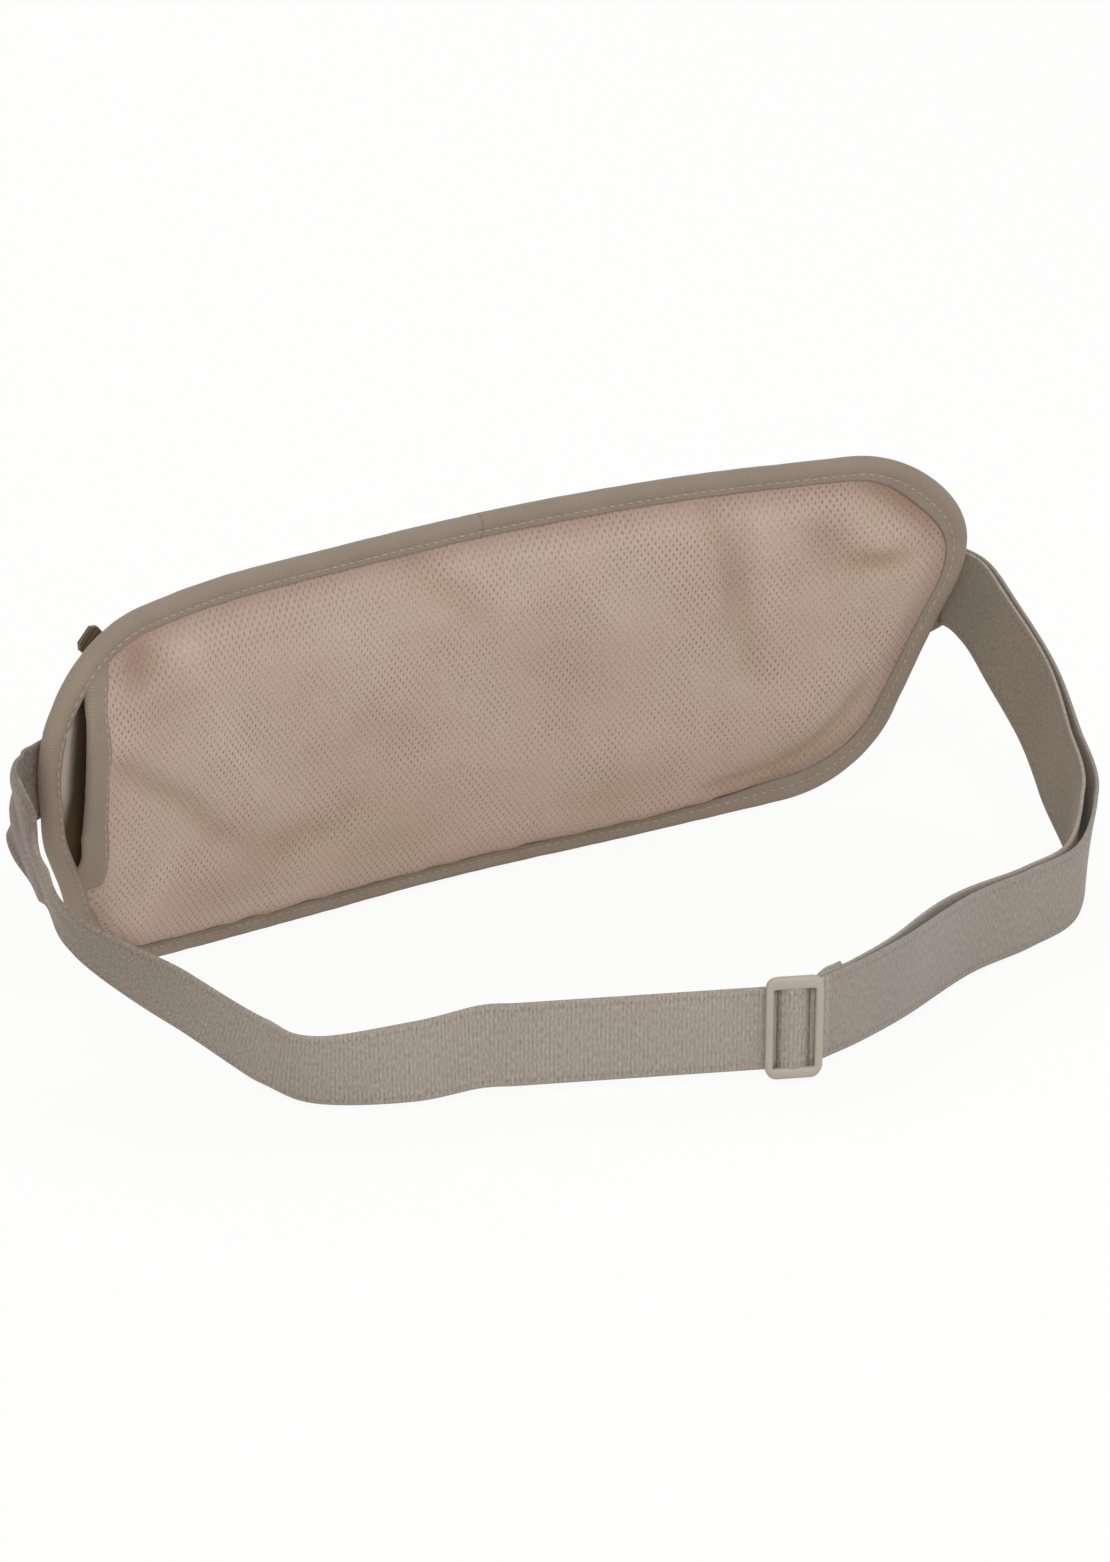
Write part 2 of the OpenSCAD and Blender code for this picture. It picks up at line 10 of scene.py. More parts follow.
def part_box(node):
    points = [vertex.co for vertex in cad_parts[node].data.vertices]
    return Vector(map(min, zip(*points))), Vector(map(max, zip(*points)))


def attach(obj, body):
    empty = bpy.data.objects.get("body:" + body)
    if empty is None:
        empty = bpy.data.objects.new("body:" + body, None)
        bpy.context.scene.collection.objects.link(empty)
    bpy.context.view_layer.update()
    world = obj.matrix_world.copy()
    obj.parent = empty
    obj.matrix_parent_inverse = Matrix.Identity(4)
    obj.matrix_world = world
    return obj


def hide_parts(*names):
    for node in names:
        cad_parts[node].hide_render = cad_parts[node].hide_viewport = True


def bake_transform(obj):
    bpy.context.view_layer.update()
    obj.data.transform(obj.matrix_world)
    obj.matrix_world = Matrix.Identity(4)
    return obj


bl_info = {
    "name": "Money Belt",
    "version": (1, 0, 0),
    "blender": (4, 5, 0),
    "location": "View3D > Sidebar > Money Belt",
    "description": "Dresses the money belt with cloth, tape, webbing, zip and fittings",
    "category": "Object",
}

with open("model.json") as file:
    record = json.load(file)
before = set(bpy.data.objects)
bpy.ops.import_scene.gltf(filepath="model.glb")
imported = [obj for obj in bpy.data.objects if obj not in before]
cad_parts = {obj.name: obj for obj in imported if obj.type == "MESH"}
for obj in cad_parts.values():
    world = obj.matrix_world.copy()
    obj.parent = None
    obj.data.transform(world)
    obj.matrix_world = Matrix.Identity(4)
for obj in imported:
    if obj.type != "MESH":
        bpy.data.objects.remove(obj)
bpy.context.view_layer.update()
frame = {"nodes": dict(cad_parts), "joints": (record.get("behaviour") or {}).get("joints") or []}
joints = {joint["name"]: joint for joint in frame["joints"]}
MM = 0.001

# The pouch is bent about an upright line, which the zip slider turns about
BEND_R = -joints["zip_travel"]["pos_m"][1]
HALF_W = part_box("edge_binding")[1].x
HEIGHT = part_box("edge_binding")[1].z

# Gap between the two layers of the strap, and clearance of the strap on a bar
LAYER_GAP, CLEAR = 0.5 * MM, 0.15 * MM
# Thickness of the adjuster's middle bar, and distance of its middle from the end of the straight run
ADJUSTER_BAR, ADJUSTER_IN = 1.6 * MM, 11.5 * MM
# Height at which the strap is sewn to the left end
SEWN_Z = 76 * MM
# The hook behind the right end: its chord position, height and distance from the middle surface
HOOK_X, HOOK_Z, HOOK_N = HALF_W - 51 * MM, 62 * MM, 11.15 * MM
# Along the hook from there: its end bar, the end of the strap that is sewn round it, and the bar's radius
HOOK_BAR, HOOK_STRAP, HOOK_BAR_R = 21.7 * MM, 25.4 * MM, 0.85 * MM
# Thickness of the mesh, and place along the lining from which the inside of the pocket is painted in shade
MESH_T, POCKET_SHADE_FROM = 1.6 * MM, -148.4 * MM
PAPER = "#f4f2ee"


def length(name, description, size):
    """Property for a length, with its default in mm."""
    return FloatProperty(name=name, description=description, default=size * MM, unit="LENGTH")


def colour(name, description, code):
    """Property for a colour, as an sRGB hex value."""
    return StringProperty(name=name, description=description, default=code)


class PouchSizes(bpy.types.PropertyGroup):
    """Sizes of the pouch and of its cloth."""

    shoulder_r: length("Upper corner radius", "Radius of the two upper corners", 38)
    top_arch: length("Top arch", "How far the top edge arches above its upper corners", 0.5)
    corner_r: length("Lower corner radius", "Radius of the two lower corners", 38.5)
    bottom_rise: length("Bottom rise", "How far the lower edge rises towards the lower corners", 4.5)
    stand_half: length("Standing half length", "Half length of the flat of the lower edge", 30)
    end_slant: length("End slant", "How far the lower corners lie inside the upper ones", 13)
    lean: FloatProperty(
        name="Lean", description="Angle that the pouch leans towards the body by",
        default=math.radians(8), subtype="ANGLE")
    tape_w: length("Binding width", "Width of the binding tape on each side of the edge", 6.5)
    mouth_x: length("Mouth place", "Chord position of the slip pocket's mouth", -144.3)
    zip_z: length("Zip height", "Height of the zip", 92)
    zip_half: length("Zip half length", "Half length of the zip chain", 122)


class StrapSizes(bpy.types.PropertyGroup):
    """Sizes of the elastic strap and of its stitching."""

    width: length("Width", "Width of the elastic webbing", 25)
    thickness: length("Thickness", "Thickness of the elastic webbing", 1.3)
    loop_depth: length("Loop depth", "How far the front of the loop stands from the pouch", 144.5)
    stitch_l: length("Stitch length", "Length of one stitch", 2.1)
    stitch_r: length("Thread radius", "Radius of the sewing thread", 0.24)


class BeltColours(bpy.types.PropertyGroup):
    """Colours of the belt, as sRGB hex values."""

    mesh: colour("Mesh", "Spacer mesh", "#bfac9c")
    mesh_warm: colour("Warm mesh", "Pinker places of the mesh", "#bfa69a")
    # Olive of the mesh, also used as the painted shade in its furrows
    mesh_olive_and_shade: colour("Mesh furrows", "Olive places of the mesh", "#977f5c")
    mesh_rose: colour("Rose mesh", "Shaded rose places of the mesh", "#8c6b63")
    mesh_hole: colour("Mesh holes", "Holes of the mesh", "#8a7263")
    tape: colour("Binding", "Binding tape", "#968879")
    lining: colour("Lining", "Lining cloth", "#b5a898")
    # Painted shade of the lining deep inside the pocket
    lining_pocket_shade: colour("Deep lining", "Lining inside the pocket", "#594121")
    front: colour("Front", "Front cloth", "#968a7c")
    webbing: colour("Webbing", "Elastic webbing", "#a1978c")
    webbing_inner: colour("Inner webbing", "Inner face of the webbing", "#8b7f71")
    # Painted shade of the webbing in its crumpled turn and its tucks
    webbing_crush_shade: colour("Crushed webbing", "Webbing drawn together in a bend", "#a08f80")
    thread: colour("Thread", "Sewing thread", "#b0a496")
    zip: colour("Zip", "Zip chain and slider", "#4a3d2d")
    pull: colour("Pull tab", "Ribbed pull tab", "#6e5b47")
    plastic: colour("Fittings", "Adjuster and hook", "#b0a699")


class MoneyBelt(bpy.types.PropertyGroup):
    """All the settings of the money belt."""

    pouch: PointerProperty(type=PouchSizes, name="Pouch", description="Sizes of the pouch")
    strap: PointerProperty(type=StrapSizes, name="Strap", description="Sizes of the strap")
    colours: PointerProperty(type=BeltColours, name="Colours", description="Colours of the belt")


def smooth(t):
    """A soft step from 0 to 1."""
    t = np.clip(t, 0, 1)
    return t * t * (3 - 2 * t)


def ramp(x, start, over):
    """A soft step from 0 to 1 that begins at a place and takes a distance, both in mm."""
    return smooth((x - start * MM) / (over * MM))


def hill(x, middle, half):
    """A soft hill of height 1, with its middle and half width in mm."""
    return np.exp(-(((x - middle * MM) / (half * MM)) ** 2))


def crumple(x, z, size):
    """Fixed irregular waves of about the given size in mm, between -1 and 1."""
    waves = ((1, 0.3, 0.4), (-0.6, 1, 2.1), (0.8, -0.9, 4.4), (0.25, 1.3, 5.2), (1.5, 0.7, 1.3))
    total = sum(np.sin((a * x + b * z) * 2 * math.pi / (size * MM) + c) for a, b, c in waves)
    return total / len(waves)


def unit(v):
    """Vectors at length one."""
    return v / np.linalg.norm(v, axis=-1, keepdims=True)


def outward(points):
    """Level directions out of the bent surface, away from the line that it is bent about."""
    return unit((points + [0, BEND_R, 0]) * [1, 1, 0])


def from_origin(origin, directions, *distances):
    """Points by their distances from an origin along three directions."""
    parts = np.broadcast_arrays(*np.atleast_1d(*distances))
    return origin + np.stack(parts, -1) @ np.array(directions)


def way_along(points):
    """Distance along a line of points, at each of them."""
    return np.concatenate([[0], np.cumsum(np.linalg.norm(np.diff(points, axis=0), axis=1))])


def at_way(at, way, points):
    """Points at distances along a line."""
    return np.stack([np.interp(at, way, column) for column in points.T], 1)


def evenly(points, gap):
    """Points spaced evenly along a line, with the direction at each."""
    way = way_along(points)
    at = np.arange(gap / 2, way[-1], gap)
    even, fine, back = (at_way(at + k * gap, way, points) for k in (0, 0.25, -0.25))
    return even, unit(fine - back)


def spline(stations, u):
    """Smooth curve through stations, at places counted in stations."""
    p = np.asarray(stations, float)
    i = np.clip(np.floor(u).astype(int), 1, len(p) - 3)
    t = (u - i)[:, None]
    a, b, c, d = p[i - 1], p[i], p[i + 1], p[i + 2]
    return 0.5 * (2 * b + (c - a) * t + (2 * a - 5 * b + 4 * c - d) * t**2
                  + (3 * b - a - 3 * c + d) * t**3)


def arc(x, z, r, start, end, steps=40):
    """Points on an arc, with angles counted clockwise from the top."""
    a = np.linspace(start, end, steps)
    return np.stack([x + r * np.sin(a), z + r * np.cos(a)], 1)


class PouchShape:
    """The bent middle surface of the pouch and its outline, as in the solids."""

    def __init__(self, sizes):
        self.sizes = sizes
        self.shoulder = (HALF_W - sizes.shoulder_r, HEIGHT - sizes.shoulder_r - sizes.top_arch)
        self.corner = (self.shoulder[0] - sizes.end_slant, sizes.corner_r + sizes.bottom_rise)
        across = self.shoulder[0] - self.corner[0]
        upward = self.shoulder[1] - self.corner[1]
        tilt = math.asin((sizes.shoulder_r - sizes.corner_r) / math.hypot(across, upward))
        self.end_angle = math.pi / 2 + math.atan2(across, upward) + tilt
        crown = HEIGHT - sizes.shoulder_r
        sx, sz = self.shoulder
        self.arch_z = (crown**2 - sx**2 - sz**2) / (2 * (crown - sz))
        self.arch_a = math.atan2(sx, sz - self.arch_z)
        sag_x = self.corner[0] - sizes.stand_half
        self.sag_r = (sag_x**2 + self.corner[1]**2 - sizes.corner_r**2) / (2 * sizes.bottom_rise)
        self.sag_a = math.pi - math.atan2(sag_x, self.sag_r - self.corner[1])
        self.edge = self.loop(0, 1600)[0]

    def upper(self, inset):
        """Right half of the upper edge, from the middle to the end of the pouch."""
        r = self.sizes.shoulder_r - inset
        return np.concatenate([
            arc(0, self.arch_z, HEIGHT - self.arch_z - inset, 0, self.arch_a)[:-1],
            arc(*self.shoulder, r, self.arch_a, math.pi / 2)])

    def lower(self, inset):
        """Right half of the lower edge, from the end of the pouch to the middle."""
        r = self.sizes.corner_r - inset
        return np.concatenate([
            arc(*self.shoulder, self.sizes.shoulder_r - inset, math.pi / 2, self.end_angle),
            arc(*self.corner, r, self.end_angle, self.sag_a),
            arc(self.sizes.stand_half, self.sag_r, self.sag_r - inset, self.sag_a, math.pi)[1:],
            [[0, inset]]])

    def loop(self, inset, count):
        """Closed outline as evenly spaced points, with the inward direction and the way at each."""
        half = np.concatenate([self.upper(inset), self.lower(inset)[1:]])
        points = np.concatenate([half, (half * [-1, 1])[::-1][1:-1], half[:1]])
        way = way_along(points)
        at = np.linspace(0, way[-1], count, endpoint=False)
        even = at_way(at, way, points)
        ahead = unit(np.roll(even, -1, 0) - np.roll(even, 1, 0))
        return even, np.stack([ahead[:, 1], -ahead[:, 0]], 1), at

    def heights(self, x, inset):
        """Lowest and highest place of the outline at chord positions."""
        up, low = self.upper(inset), self.lower(inset)[::-1]
        x = np.minimum(np.abs(x), up[-1, 0])
        return np.interp(x, low[:, 0], low[:, 1]), np.interp(x, up[:, 0], up[:, 1])

    def inside(self, x, z):
        """Distance from the outline, inward."""
        flat = np.stack([np.ravel(x), np.ravel(z)], 1)
        parts = np.array_split(flat, max(1, len(flat) // 1500))
        near = [np.sqrt(((p[:, None] - self.edge[None]) ** 2).sum(2).min(1)) for p in parts]
        return np.concatenate(near).reshape(np.shape(x))

    def tape_at(self, x, z):
        """Width of the binding that shows, which is more at the corners where the mesh draws in."""
        low = hill(x, 116, 26) * hill(z, 20, 26)
        top = hill(x, 146, 16) * hill(z, 104, 16)
        # At the left end the mouth of the pocket leaves less of the tape on the body side
        left = hill(z, 66, 24) * ramp(-x, 136, 10)
        return self.sizes.tape_w + 3.6 * MM * low + 2.6 * MM * top - 1.4 * MM * left

    def settle(self, x, z):
        """Uneven sag of the worn outline: fuller at the right shoulder and the left edge."""
        crest = hill(x, -98, 34) * ramp(z, 98, 15)
        end = hill(x, 156, 20) * hill(z, 92, 19)
        dip = hill(x, 112, 26) * ramp(z, 104, 12)
        bulge = hill(x, -152, 14) * hill(z, 55, 12)
        return x + 2.6 * MM * (end - bulge), z + 1.7 * MM * crest + 0.5 * MM * end - 0.5 * MM * dip

    def place(self, x, z, n):
        """Points in the frame from chord position, height and distance towards the front."""
        lean = self.sizes.lean
        x, z = self.settle(x, z)
        r0 = BEND_R - z * math.tan(lean)
        a = np.arcsin(x / r0)
        r = r0 + n * math.cos(lean)
        return np.stack([r * np.sin(a), r * np.cos(a) - BEND_R, z + n * math.sin(lean)], -1)


# Folds of the body side in mm: half width, rise, and the chord positions and heights they follow
MESH_FOLDS = (
    (4.2, -1.3, ((-142, 81), (-125, 68), (-110, 58), (-95, 43), (-84, 36))),
    (7.5, -0.9, ((-92, 40), (-70, 32), (-50, 33), (-34, 44))),
    (5.5, 0.8, ((-113, 112), (-107, 100), (-100, 85), (-93, 68), (-84, 55), (-70, 46))),
    (7.0, -1.7, ((-131, 116), (-126, 106), (-135, 96))),
    (6.0, 0.8, ((-142, 90), (-126, 77))),
    (5.0, 0.7, ((-111, 50), (-118, 28), (-126, 16))),
    (6.0, -0.9, ((-34, 118), (-12, 99), (6, 84))),
    (6.0, 0.7, ((-16, 114), (2, 98), (20, 84))),
    (5.5, 0.6, ((20, 116), (36, 90), (54, 72))),
    (5.0, -1.0, ((74, 115), (82, 95), (88, 80), (94, 60), (100, 42))),
    (5.0, 0.8, ((90, 114), (96, 88), (101, 64))),
    (6.0, -0.9, ((106, 106), (116, 94), (123, 82))),
    (3.6, -1.2, ((118, 91), (132, 86), (146, 87))),
    (4.0, -1.8, ((122, 114), (137, 107), (146, 96), (149, 88))),
    (4.0, -1.8, ((80, 13), (106, 18), (119, 25), (129, 36), (136, 50))),
    (8.0, 0.8, ((88, 52), (112, 44), (132, 58))),
    (10.0, -0.35, ((14, 82), (34, 68), (46, 56))),
    (8.0, 0.5, ((-62, 102), (-40, 80), (-18, 70))),
    (8.0, -0.5, ((-52, 66), (-30, 60), (-14, 46))),
    (9.0, 0.6, ((-14, 42), (30, 36), (72, 34))),
)

# Places where the mesh is tinted, in mm: middle, half sizes and share; the tints are partly the olive or rose
# of the layers below and partly painted shade in hollows, furrows, tucked corners and along the top binding
OLIVE_AND_SHADE_PLACES = (
    (-30, 24, 22, 15, 0.8), (-66, 33, 20, 6, 0.6), (50, 20, 18, 12, 0.7), (0, 12, 42, 5, 0.4),
    (131, 87, 13, 4, 0.8), (30, 68, 20, 14, 0.25), (112, 24, 22, 8, 0.7), (140, 106, 14, 7, 0.9),
)
ROSE_AND_SHADE_PLACES = (
    (-90, 22, 26, 10, 0.4), (-129, 108, 9, 11, 1.0), (114, 97, 10, 9, 0.45), (85, 86, 6, 24, 0.35),
    (15, 38, 34, 12, 0.25), (-122, 94, 16, 8, 0.4), (-50, 112, 60, 8, 0.4), (-60, 60, 24, 9, 0.2),
)

# The pocket's mouth: height, edge out of its ends' line and tape width in mm, and share of the lip
MOUTH = np.array((
    (30, 0.0, 0.8, 0), (36, 0.0, 1.5, 0), (42, 0.2, 6.0, 0.05), (48, 0.5, 6.9, 0.24),
    (54, 0.5, 6.8, 0.47), (60, -0.6, 7.1, 0.70), (66, -2.6, 7.8, 0.88), (72, -4.1, 8.3, 0.97),
    (78, -4.8, 8.6, 1.0), (84, -5.0, 8.6, 1.0), (90, -4.9, 7.6, 0.96), (96, -4.1, 6.7, 0.76),
    (102, -1.3, 6.6, 0.24), (108, -0.1, 6.5, 0.02), (114, 0.0, 6.5, 0)))


def near_line(x, z, line):
    """Distance from a line of points, the way along it to the nearest place, and its length."""
    best, way, done = np.full(np.shape(x), 1.0), np.zeros(np.shape(x)), 0.0
    corners = np.array(line) * MM
    for a, b in zip(corners[:-1], corners[1:]):
        along = b - a
        size = math.hypot(*along)
        share = np.clip(((x - a[0]) * along[0] + (z - a[1]) * along[1]) / size**2, 0, 1)
        gap = np.hypot(x - a[0] - share * along[0], z - a[1] - share * along[1])
        way = np.where(gap < best, done + share * size, way)
        best = np.minimum(best, gap)
        done += size
    return best, way, done


def fold_height(x, z, folds):
    """Sum of soft ridges and furrows along lines, which fade at both ends."""
    total = np.zeros(np.shape(x))
    for width, rise, line in folds:
        gap, way, size = near_line(x, z, line)
        fade = ramp(way, -3, 16) * ramp(size - way, -3, 16)
        total += rise * MM * fade * hill(gap, 0, width)
    return total


def tint(x, z, places):
    """Share of a tint from soft round places."""
    total = np.zeros(np.shape(x))
    for px, pz, half_x, half_z, share in places:
        total = np.maximum(total, share * hill(x, px, half_x) * hill(z, pz, half_z))
    return total


def mouth_at(shape, z):
    """Chord position of the free edge of the mesh, width of its tape and share of the lip."""
    fine = spline(MOUTH, np.linspace(1, len(MOUTH) - 2, 300))
    edge, width, lip = (np.interp(z, fine[:, 0] * MM, fine[:, k]) for k in (1, 2, 3))
    return shape.sizes.mouth_x + edge * MM, width * MM, np.maximum(lip, 0)


def body_depth(shape, x, z):
    """How far the outer face of the mesh stands from the middle surface, on the body side."""
    seam_n = 2.4 * MM
    clear = shape.inside(x, z) - shape.tape_at(x, z)
    pucker = 0.7 * MM * crumple(x, z, 17)
    # The mesh swells out sharply at the lower edge and gently at the top and the right end
    soft = 3.2 * MM + 8 * MM * ramp(z, 70, 30) + 7 * MM * ramp(x, 96, 40)
    steep = smooth((clear + 0.8 * MM + pucker) / soft)
    depth = seam_n + 3.6 * MM * steep + 2.6 * MM * ramp(clear, 0, 24)
    edge, _, lip = mouth_at(shape, z)
    lifted = lip * ramp(edge - x, -38, 38) * ramp(clear, -1.2, 3)
    depth = np.maximum(depth, seam_n + 6.6 * MM * lifted)
    ripple = 0.4 * MM * crumple(x, z, 43) + 0.12 * MM * crumple(z, x, 17)
    folds = ramp(clear, 0, 7) * (1.25 * fold_height(x, z, MESH_FOLDS) + ripple)
    return np.maximum(depth + folds, seam_n)


def front_depth(shape, x, z):
    """How far the outer face of the front cloth stands from the middle surface."""
    clear = shape.inside(x, z) - shape.sizes.tape_w
    steep = ramp(clear + 0.5 * MM * crumple(x, z, 21), -1, 6)
    calm = ramp(clear, 0, 14) * ramp(np.abs(z - shape.sizes.zip_z), 0, 26)
    wave = 0.45 * MM * crumple(x, z, 52) + 0.2 * MM * crumple(z, x, 23)
    return 2.0 * MM + 4.0 * MM * steep + calm * wave


def new_mesh(name, points, faces, uv=None):
    """Object from points and faces, smooth shaded, with places on the cloth in metres."""
    mesh = bpy.data.meshes.new(name)
    mesh.from_pydata(np.asarray(points).reshape(-1, 3).tolist(), [], [tuple(map(int, f)) for f in faces])
    mesh.validate()
    mesh.polygons.foreach_set("use_smooth", [True] * len(mesh.polygons))
    if uv is not None:
        layer = mesh.uv_layers.new(name="cloth")
        corner = np.zeros(len(mesh.loops), dtype=np.int32)
        mesh.loops.foreach_get("vertex_index", corner)
        layer.data.foreach_set("uv", np.asarray(uv)[corner].astype(np.float32).ravel())
    obj = bpy.data.objects.new(name, mesh)
    bpy.context.scene.collection.objects.link(obj)
    return obj


def mark(obj, name, values):
    """Stores a value at each point of a piece, which its material reads."""
    layer = obj.data.attributes.new(name, "FLOAT", "POINT")
    layer.data.foreach_set("value", np.asarray(values, np.float32).ravel())


def grid_faces(rows, columns, around_rows=False, around_columns=False):
    """Four-sided faces of a grid of points, closed round either way if asked."""
    i = np.arange(rows if around_rows else rows - 1)[:, None]
    j = np.arange(columns if around_columns else columns - 1)[None]
    i2, j2 = (i + 1) % rows, (j + 1) % columns
    quads = [i * columns + j, i * columns + j2, i2 * columns + j2, i2 * columns + j]
    return np.stack([np.broadcast_to(q, (i.size, j.size)).ravel() for q in quads], 1)


def tube_faces(rows, columns):
    """Faces of a tube of rings of points, with a cap at each end."""
    last = (rows - 1) * columns
    faces = [tuple(f) for f in grid_faces(rows, columns, around_columns=True)]
    return faces + [tuple(range(columns))[::-1], tuple(range(last, last + columns))]


def rings_round(line, first, second, half_first, half_second, sides, power=1.0):
    """Rings of points round a line, spread along two directions."""
    first, second = (np.broadcast_to(v, line.shape)[:, None] for v in (first, second))
    turn = np.arange(sides) * 2 * math.pi / sides
    cos, sin = ((np.sign(v) * np.abs(v) ** power)[:, None] for v in (np.cos(turn), np.sin(turn)))
    return line[:, None] + np.reshape(half_first, (-1, 1, 1)) * cos * first + half_second * sin * second


def between(x, low, high, rows):
    """Grids of chord positions and heights between two edges."""
    share = np.linspace(0, 1, rows)[:, None]
    return np.broadcast_to(x, (rows, len(x))), low + (high - low) * share


def sheet_of(shape, name, xs, zs, depth, side, thickness):
    """Sheet on one side of the bent surface, with its thickness away from its face."""
    faces = grid_faces(*xs.shape)
    if side > 0:
        faces = faces[:, ::-1]
    along = BEND_R * np.arcsin(xs / BEND_R)
    places = np.stack([along.ravel(), zs.ravel()], 1)
    obj = new_mesh(name, shape.place(xs, zs, side * depth), faces, places)
    solid = obj.modifiers.new("thickness", "SOLIDIFY")
    solid.thickness = thickness
    solid.offset = -1
    solid.use_rim = True
    return obj


def stitch_row(name, points, ahead, out, sizes):
    """Row of sewn stitches, each a short bead of thread that sinks in at both ends."""
    ahead, out = (np.broadcast_to(v, points.shape) for v in (ahead, out))
    sides, rings = 6, 5
    turn = np.arange(sides) * 2 * math.pi / sides
    t = np.linspace(-1, 1, rings)
    swell = np.array([0.35, 0.85, 1.0, 0.85, 0.35])[:, None]
    drop = -0.6 * t[:, None]**2
    bead = np.stack([
        np.repeat(t * sizes.stitch_l / 2, sides),
        (swell * np.cos(turn)).ravel() * sizes.stitch_r,
        (swell * np.sin(turn) + drop).ravel() * sizes.stitch_r], 1)
    side = np.cross(out, ahead)
    verts = (points[:, None] + bead[None, :, :1] * ahead[:, None]
             + bead[None, :, 1:2] * side[:, None] + bead[None, :, 2:] * out[:, None])
    one = tube_faces(rings, sides)
    starts = np.arange(len(points)) * rings * sides
    return new_mesh(name, verts, [[v + start for v in face] for start in starts for face in one])


class StrapRoute:
    """The way of the elastic strap, with the stations of the solids, in metres."""

    def __init__(self, shape, sizes):
        self.shape, self.sizes = shape, sizes
        low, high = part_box("front_strap")
        self.run_dir = unit(-np.array(joints["adjuster_slide"]["axis"]))
        half, gap = sizes.thickness / 2, 0.3 * MM
        margin = half * abs(self.run_dir[1])
        self.run_z = (low.z + high.z) / 2
        corner = np.array([low.x + margin, high.y - half * self.run_dir[0], self.run_z])
        self.run_start = corner - self.run_dir * gap
        run = (high.x - low.x - 2 * margin) / self.run_dir[0] + 2 * gap
        self.run_end = self.run_start + self.run_dir * run
        self.layer = sizes.thickness + LAYER_GAP
        self.floor_z = sizes.width / 2 + 0.3 * MM
        self.hook_dir = -np.array(joints["hook_release"]["axis"])
        self.hook_at = shape.place(HOOK_X, HOOK_Z, HOOK_N)
        self.hook_wrap = HOOK_BAR_R + CLEAR + half
        self.end_y = shape.place(HALF_W, SEWN_Z, 0.0)[1]
        self.left = self.left_stations()
        self.right = self.right_stations()

    def left_stations(self):
        """Stations from the left end of the pouch to the straight front run."""
        anchor, y, f = SEWN_Z / MM, self.end_y / MM, self.floor_z / MM
        w, depth = HALF_W / MM, self.sizes.loop_depth / MM
        lean = math.degrees(self.shape.sizes.lean)
        sewn = [(-w + 30, anchor + 4, 3.25), (-w + 11, anchor + 1, 3.25), (-w + 1.6, anchor - 1, 3.85)]
        start = [[*(self.shape.place(x * MM, z * MM, n * MM) / MM), -lean] for x, z, n in sewn]
        middle = [
            [-w - 3.2, y + 4.5, anchor - 1, -13], [-w - 8.5, y + 0.4, anchor - 3.4, -5.6],
            [-w - 11.3, y - 11.5, anchor - 10.6, 3.6], [-w - 12.2, y - 22.8, anchor - 18.5, 21],
            [-w - 7.9, y - 34.2, anchor - 31.4, 38.5], [-w + 11.5, 51.7 - depth, f + 16.4, 25],
            [-w + 25.3, 31.4 - depth, f + 5.2, 19], [-w + 35.2, 19.1 - depth, f + 1.4, 19],
            [-w + 59.3, 7.6 - depth, f + 2.2, 4.5]]
        run = [[*((self.run_start + self.run_dir * k * MM) / MM), 0] for k in (-10, 0, 10)]
        return np.array(start + middle + run) * [MM, MM, MM, 1]

    def right_stations(self):
        """Stations from the straight front run to the hook behind the right end."""
        w, depth = HALF_W / MM, self.sizes.loop_depth / MM
        y, z, f = self.end_y / MM, HOOK_Z / MM, self.floor_z / MM
        end, run_z = self.run_end / MM, self.run_z / MM
        lean = math.degrees(self.shape.sizes.lean)
        # The strap leaves its straight run at the adjuster's right bar
        run = [[*(end + self.run_dir * k), 0] for k in (-10, -7)]
        run.append([end[0] - 1.5, end[1] + 1.6, run_z + 2.0, 0])
        middle = [
            [end[0] + 14, end[1] + 6.4, run_z + 1.2, 0], [end[0] + 38, end[1] + 16.4, run_z - 0.3, 0],
            [w - 75, -1.5 - depth, f + 0.3, 0], [w - 48, 4.8 - depth, f, 0],
            [w - 25, 12 - depth, f + 1.2, 3], [w - 9, 28 - depth, f + 10.5, 8],
            [w - 2, 48 - depth, f + 21.5, 13], [w + 4.5, y - 38, z - 17, 16],
            [w + 8, y - 16, z - 5.5, 15], [w + 10.5, y - 1, z + 1, 12],
            [w + 9, y + 8, z + 5.0, 7], [w + 3.5, y + 14.6, z + 6.0, 0]]
        reach = [HOOK_STRAP / MM + k for k in (20, 1, -9)]
        hook = [[*(self.hook_at / MM + self.hook_dir * k), -lean] for k in reach]
        return np.array(run + middle + hook) * [MM, MM, MM, 1]

    def frames(self, points, leans):
        """Directions across and out of the strap at each point."""
        ahead = unit(np.gradient(points, axis=0))
        # Beside the adjuster the strap rises without turning its edges
        far = 1 - hill(np.linalg.norm(points - self.run_end, axis=1), 0, 16)
        up = unit(np.array([0, 0, 1.0]) - ahead * ahead[:, 2:] * far[:, None])
        a = np.radians(leans)[:, None]
        across = up * np.cos(a) + np.cross(ahead, up) * np.sin(a)
        return across, np.cross(ahead, across)

    def stretch(self, stations, start, end, gap=0.8 * MM):
        """Evenly spaced points and leans between two places counted in stations."""
        fine = spline(stations, np.linspace(start, end, int((end - start) * 60) + 2))
        way = way_along(fine[:, :3])
        even = at_way(np.linspace(0, way[-1], max(4, int(way[-1] / gap))), way, fine)
        return even[:, :3], even[:, 3]

    def right_part(self, start, end):
        """Points, and directions across and out, between two of the right stations."""
        points, leans = self.stretch(self.right, start, end)
        return points, *self.frames(points, leans)


def flat_frames(line, across):
    """Directions across and out of a strip whose width keeps one direction."""
    across = np.broadcast_to(across, line.shape)
    return across, np.cross(unit(np.gradient(line, axis=0)), across)


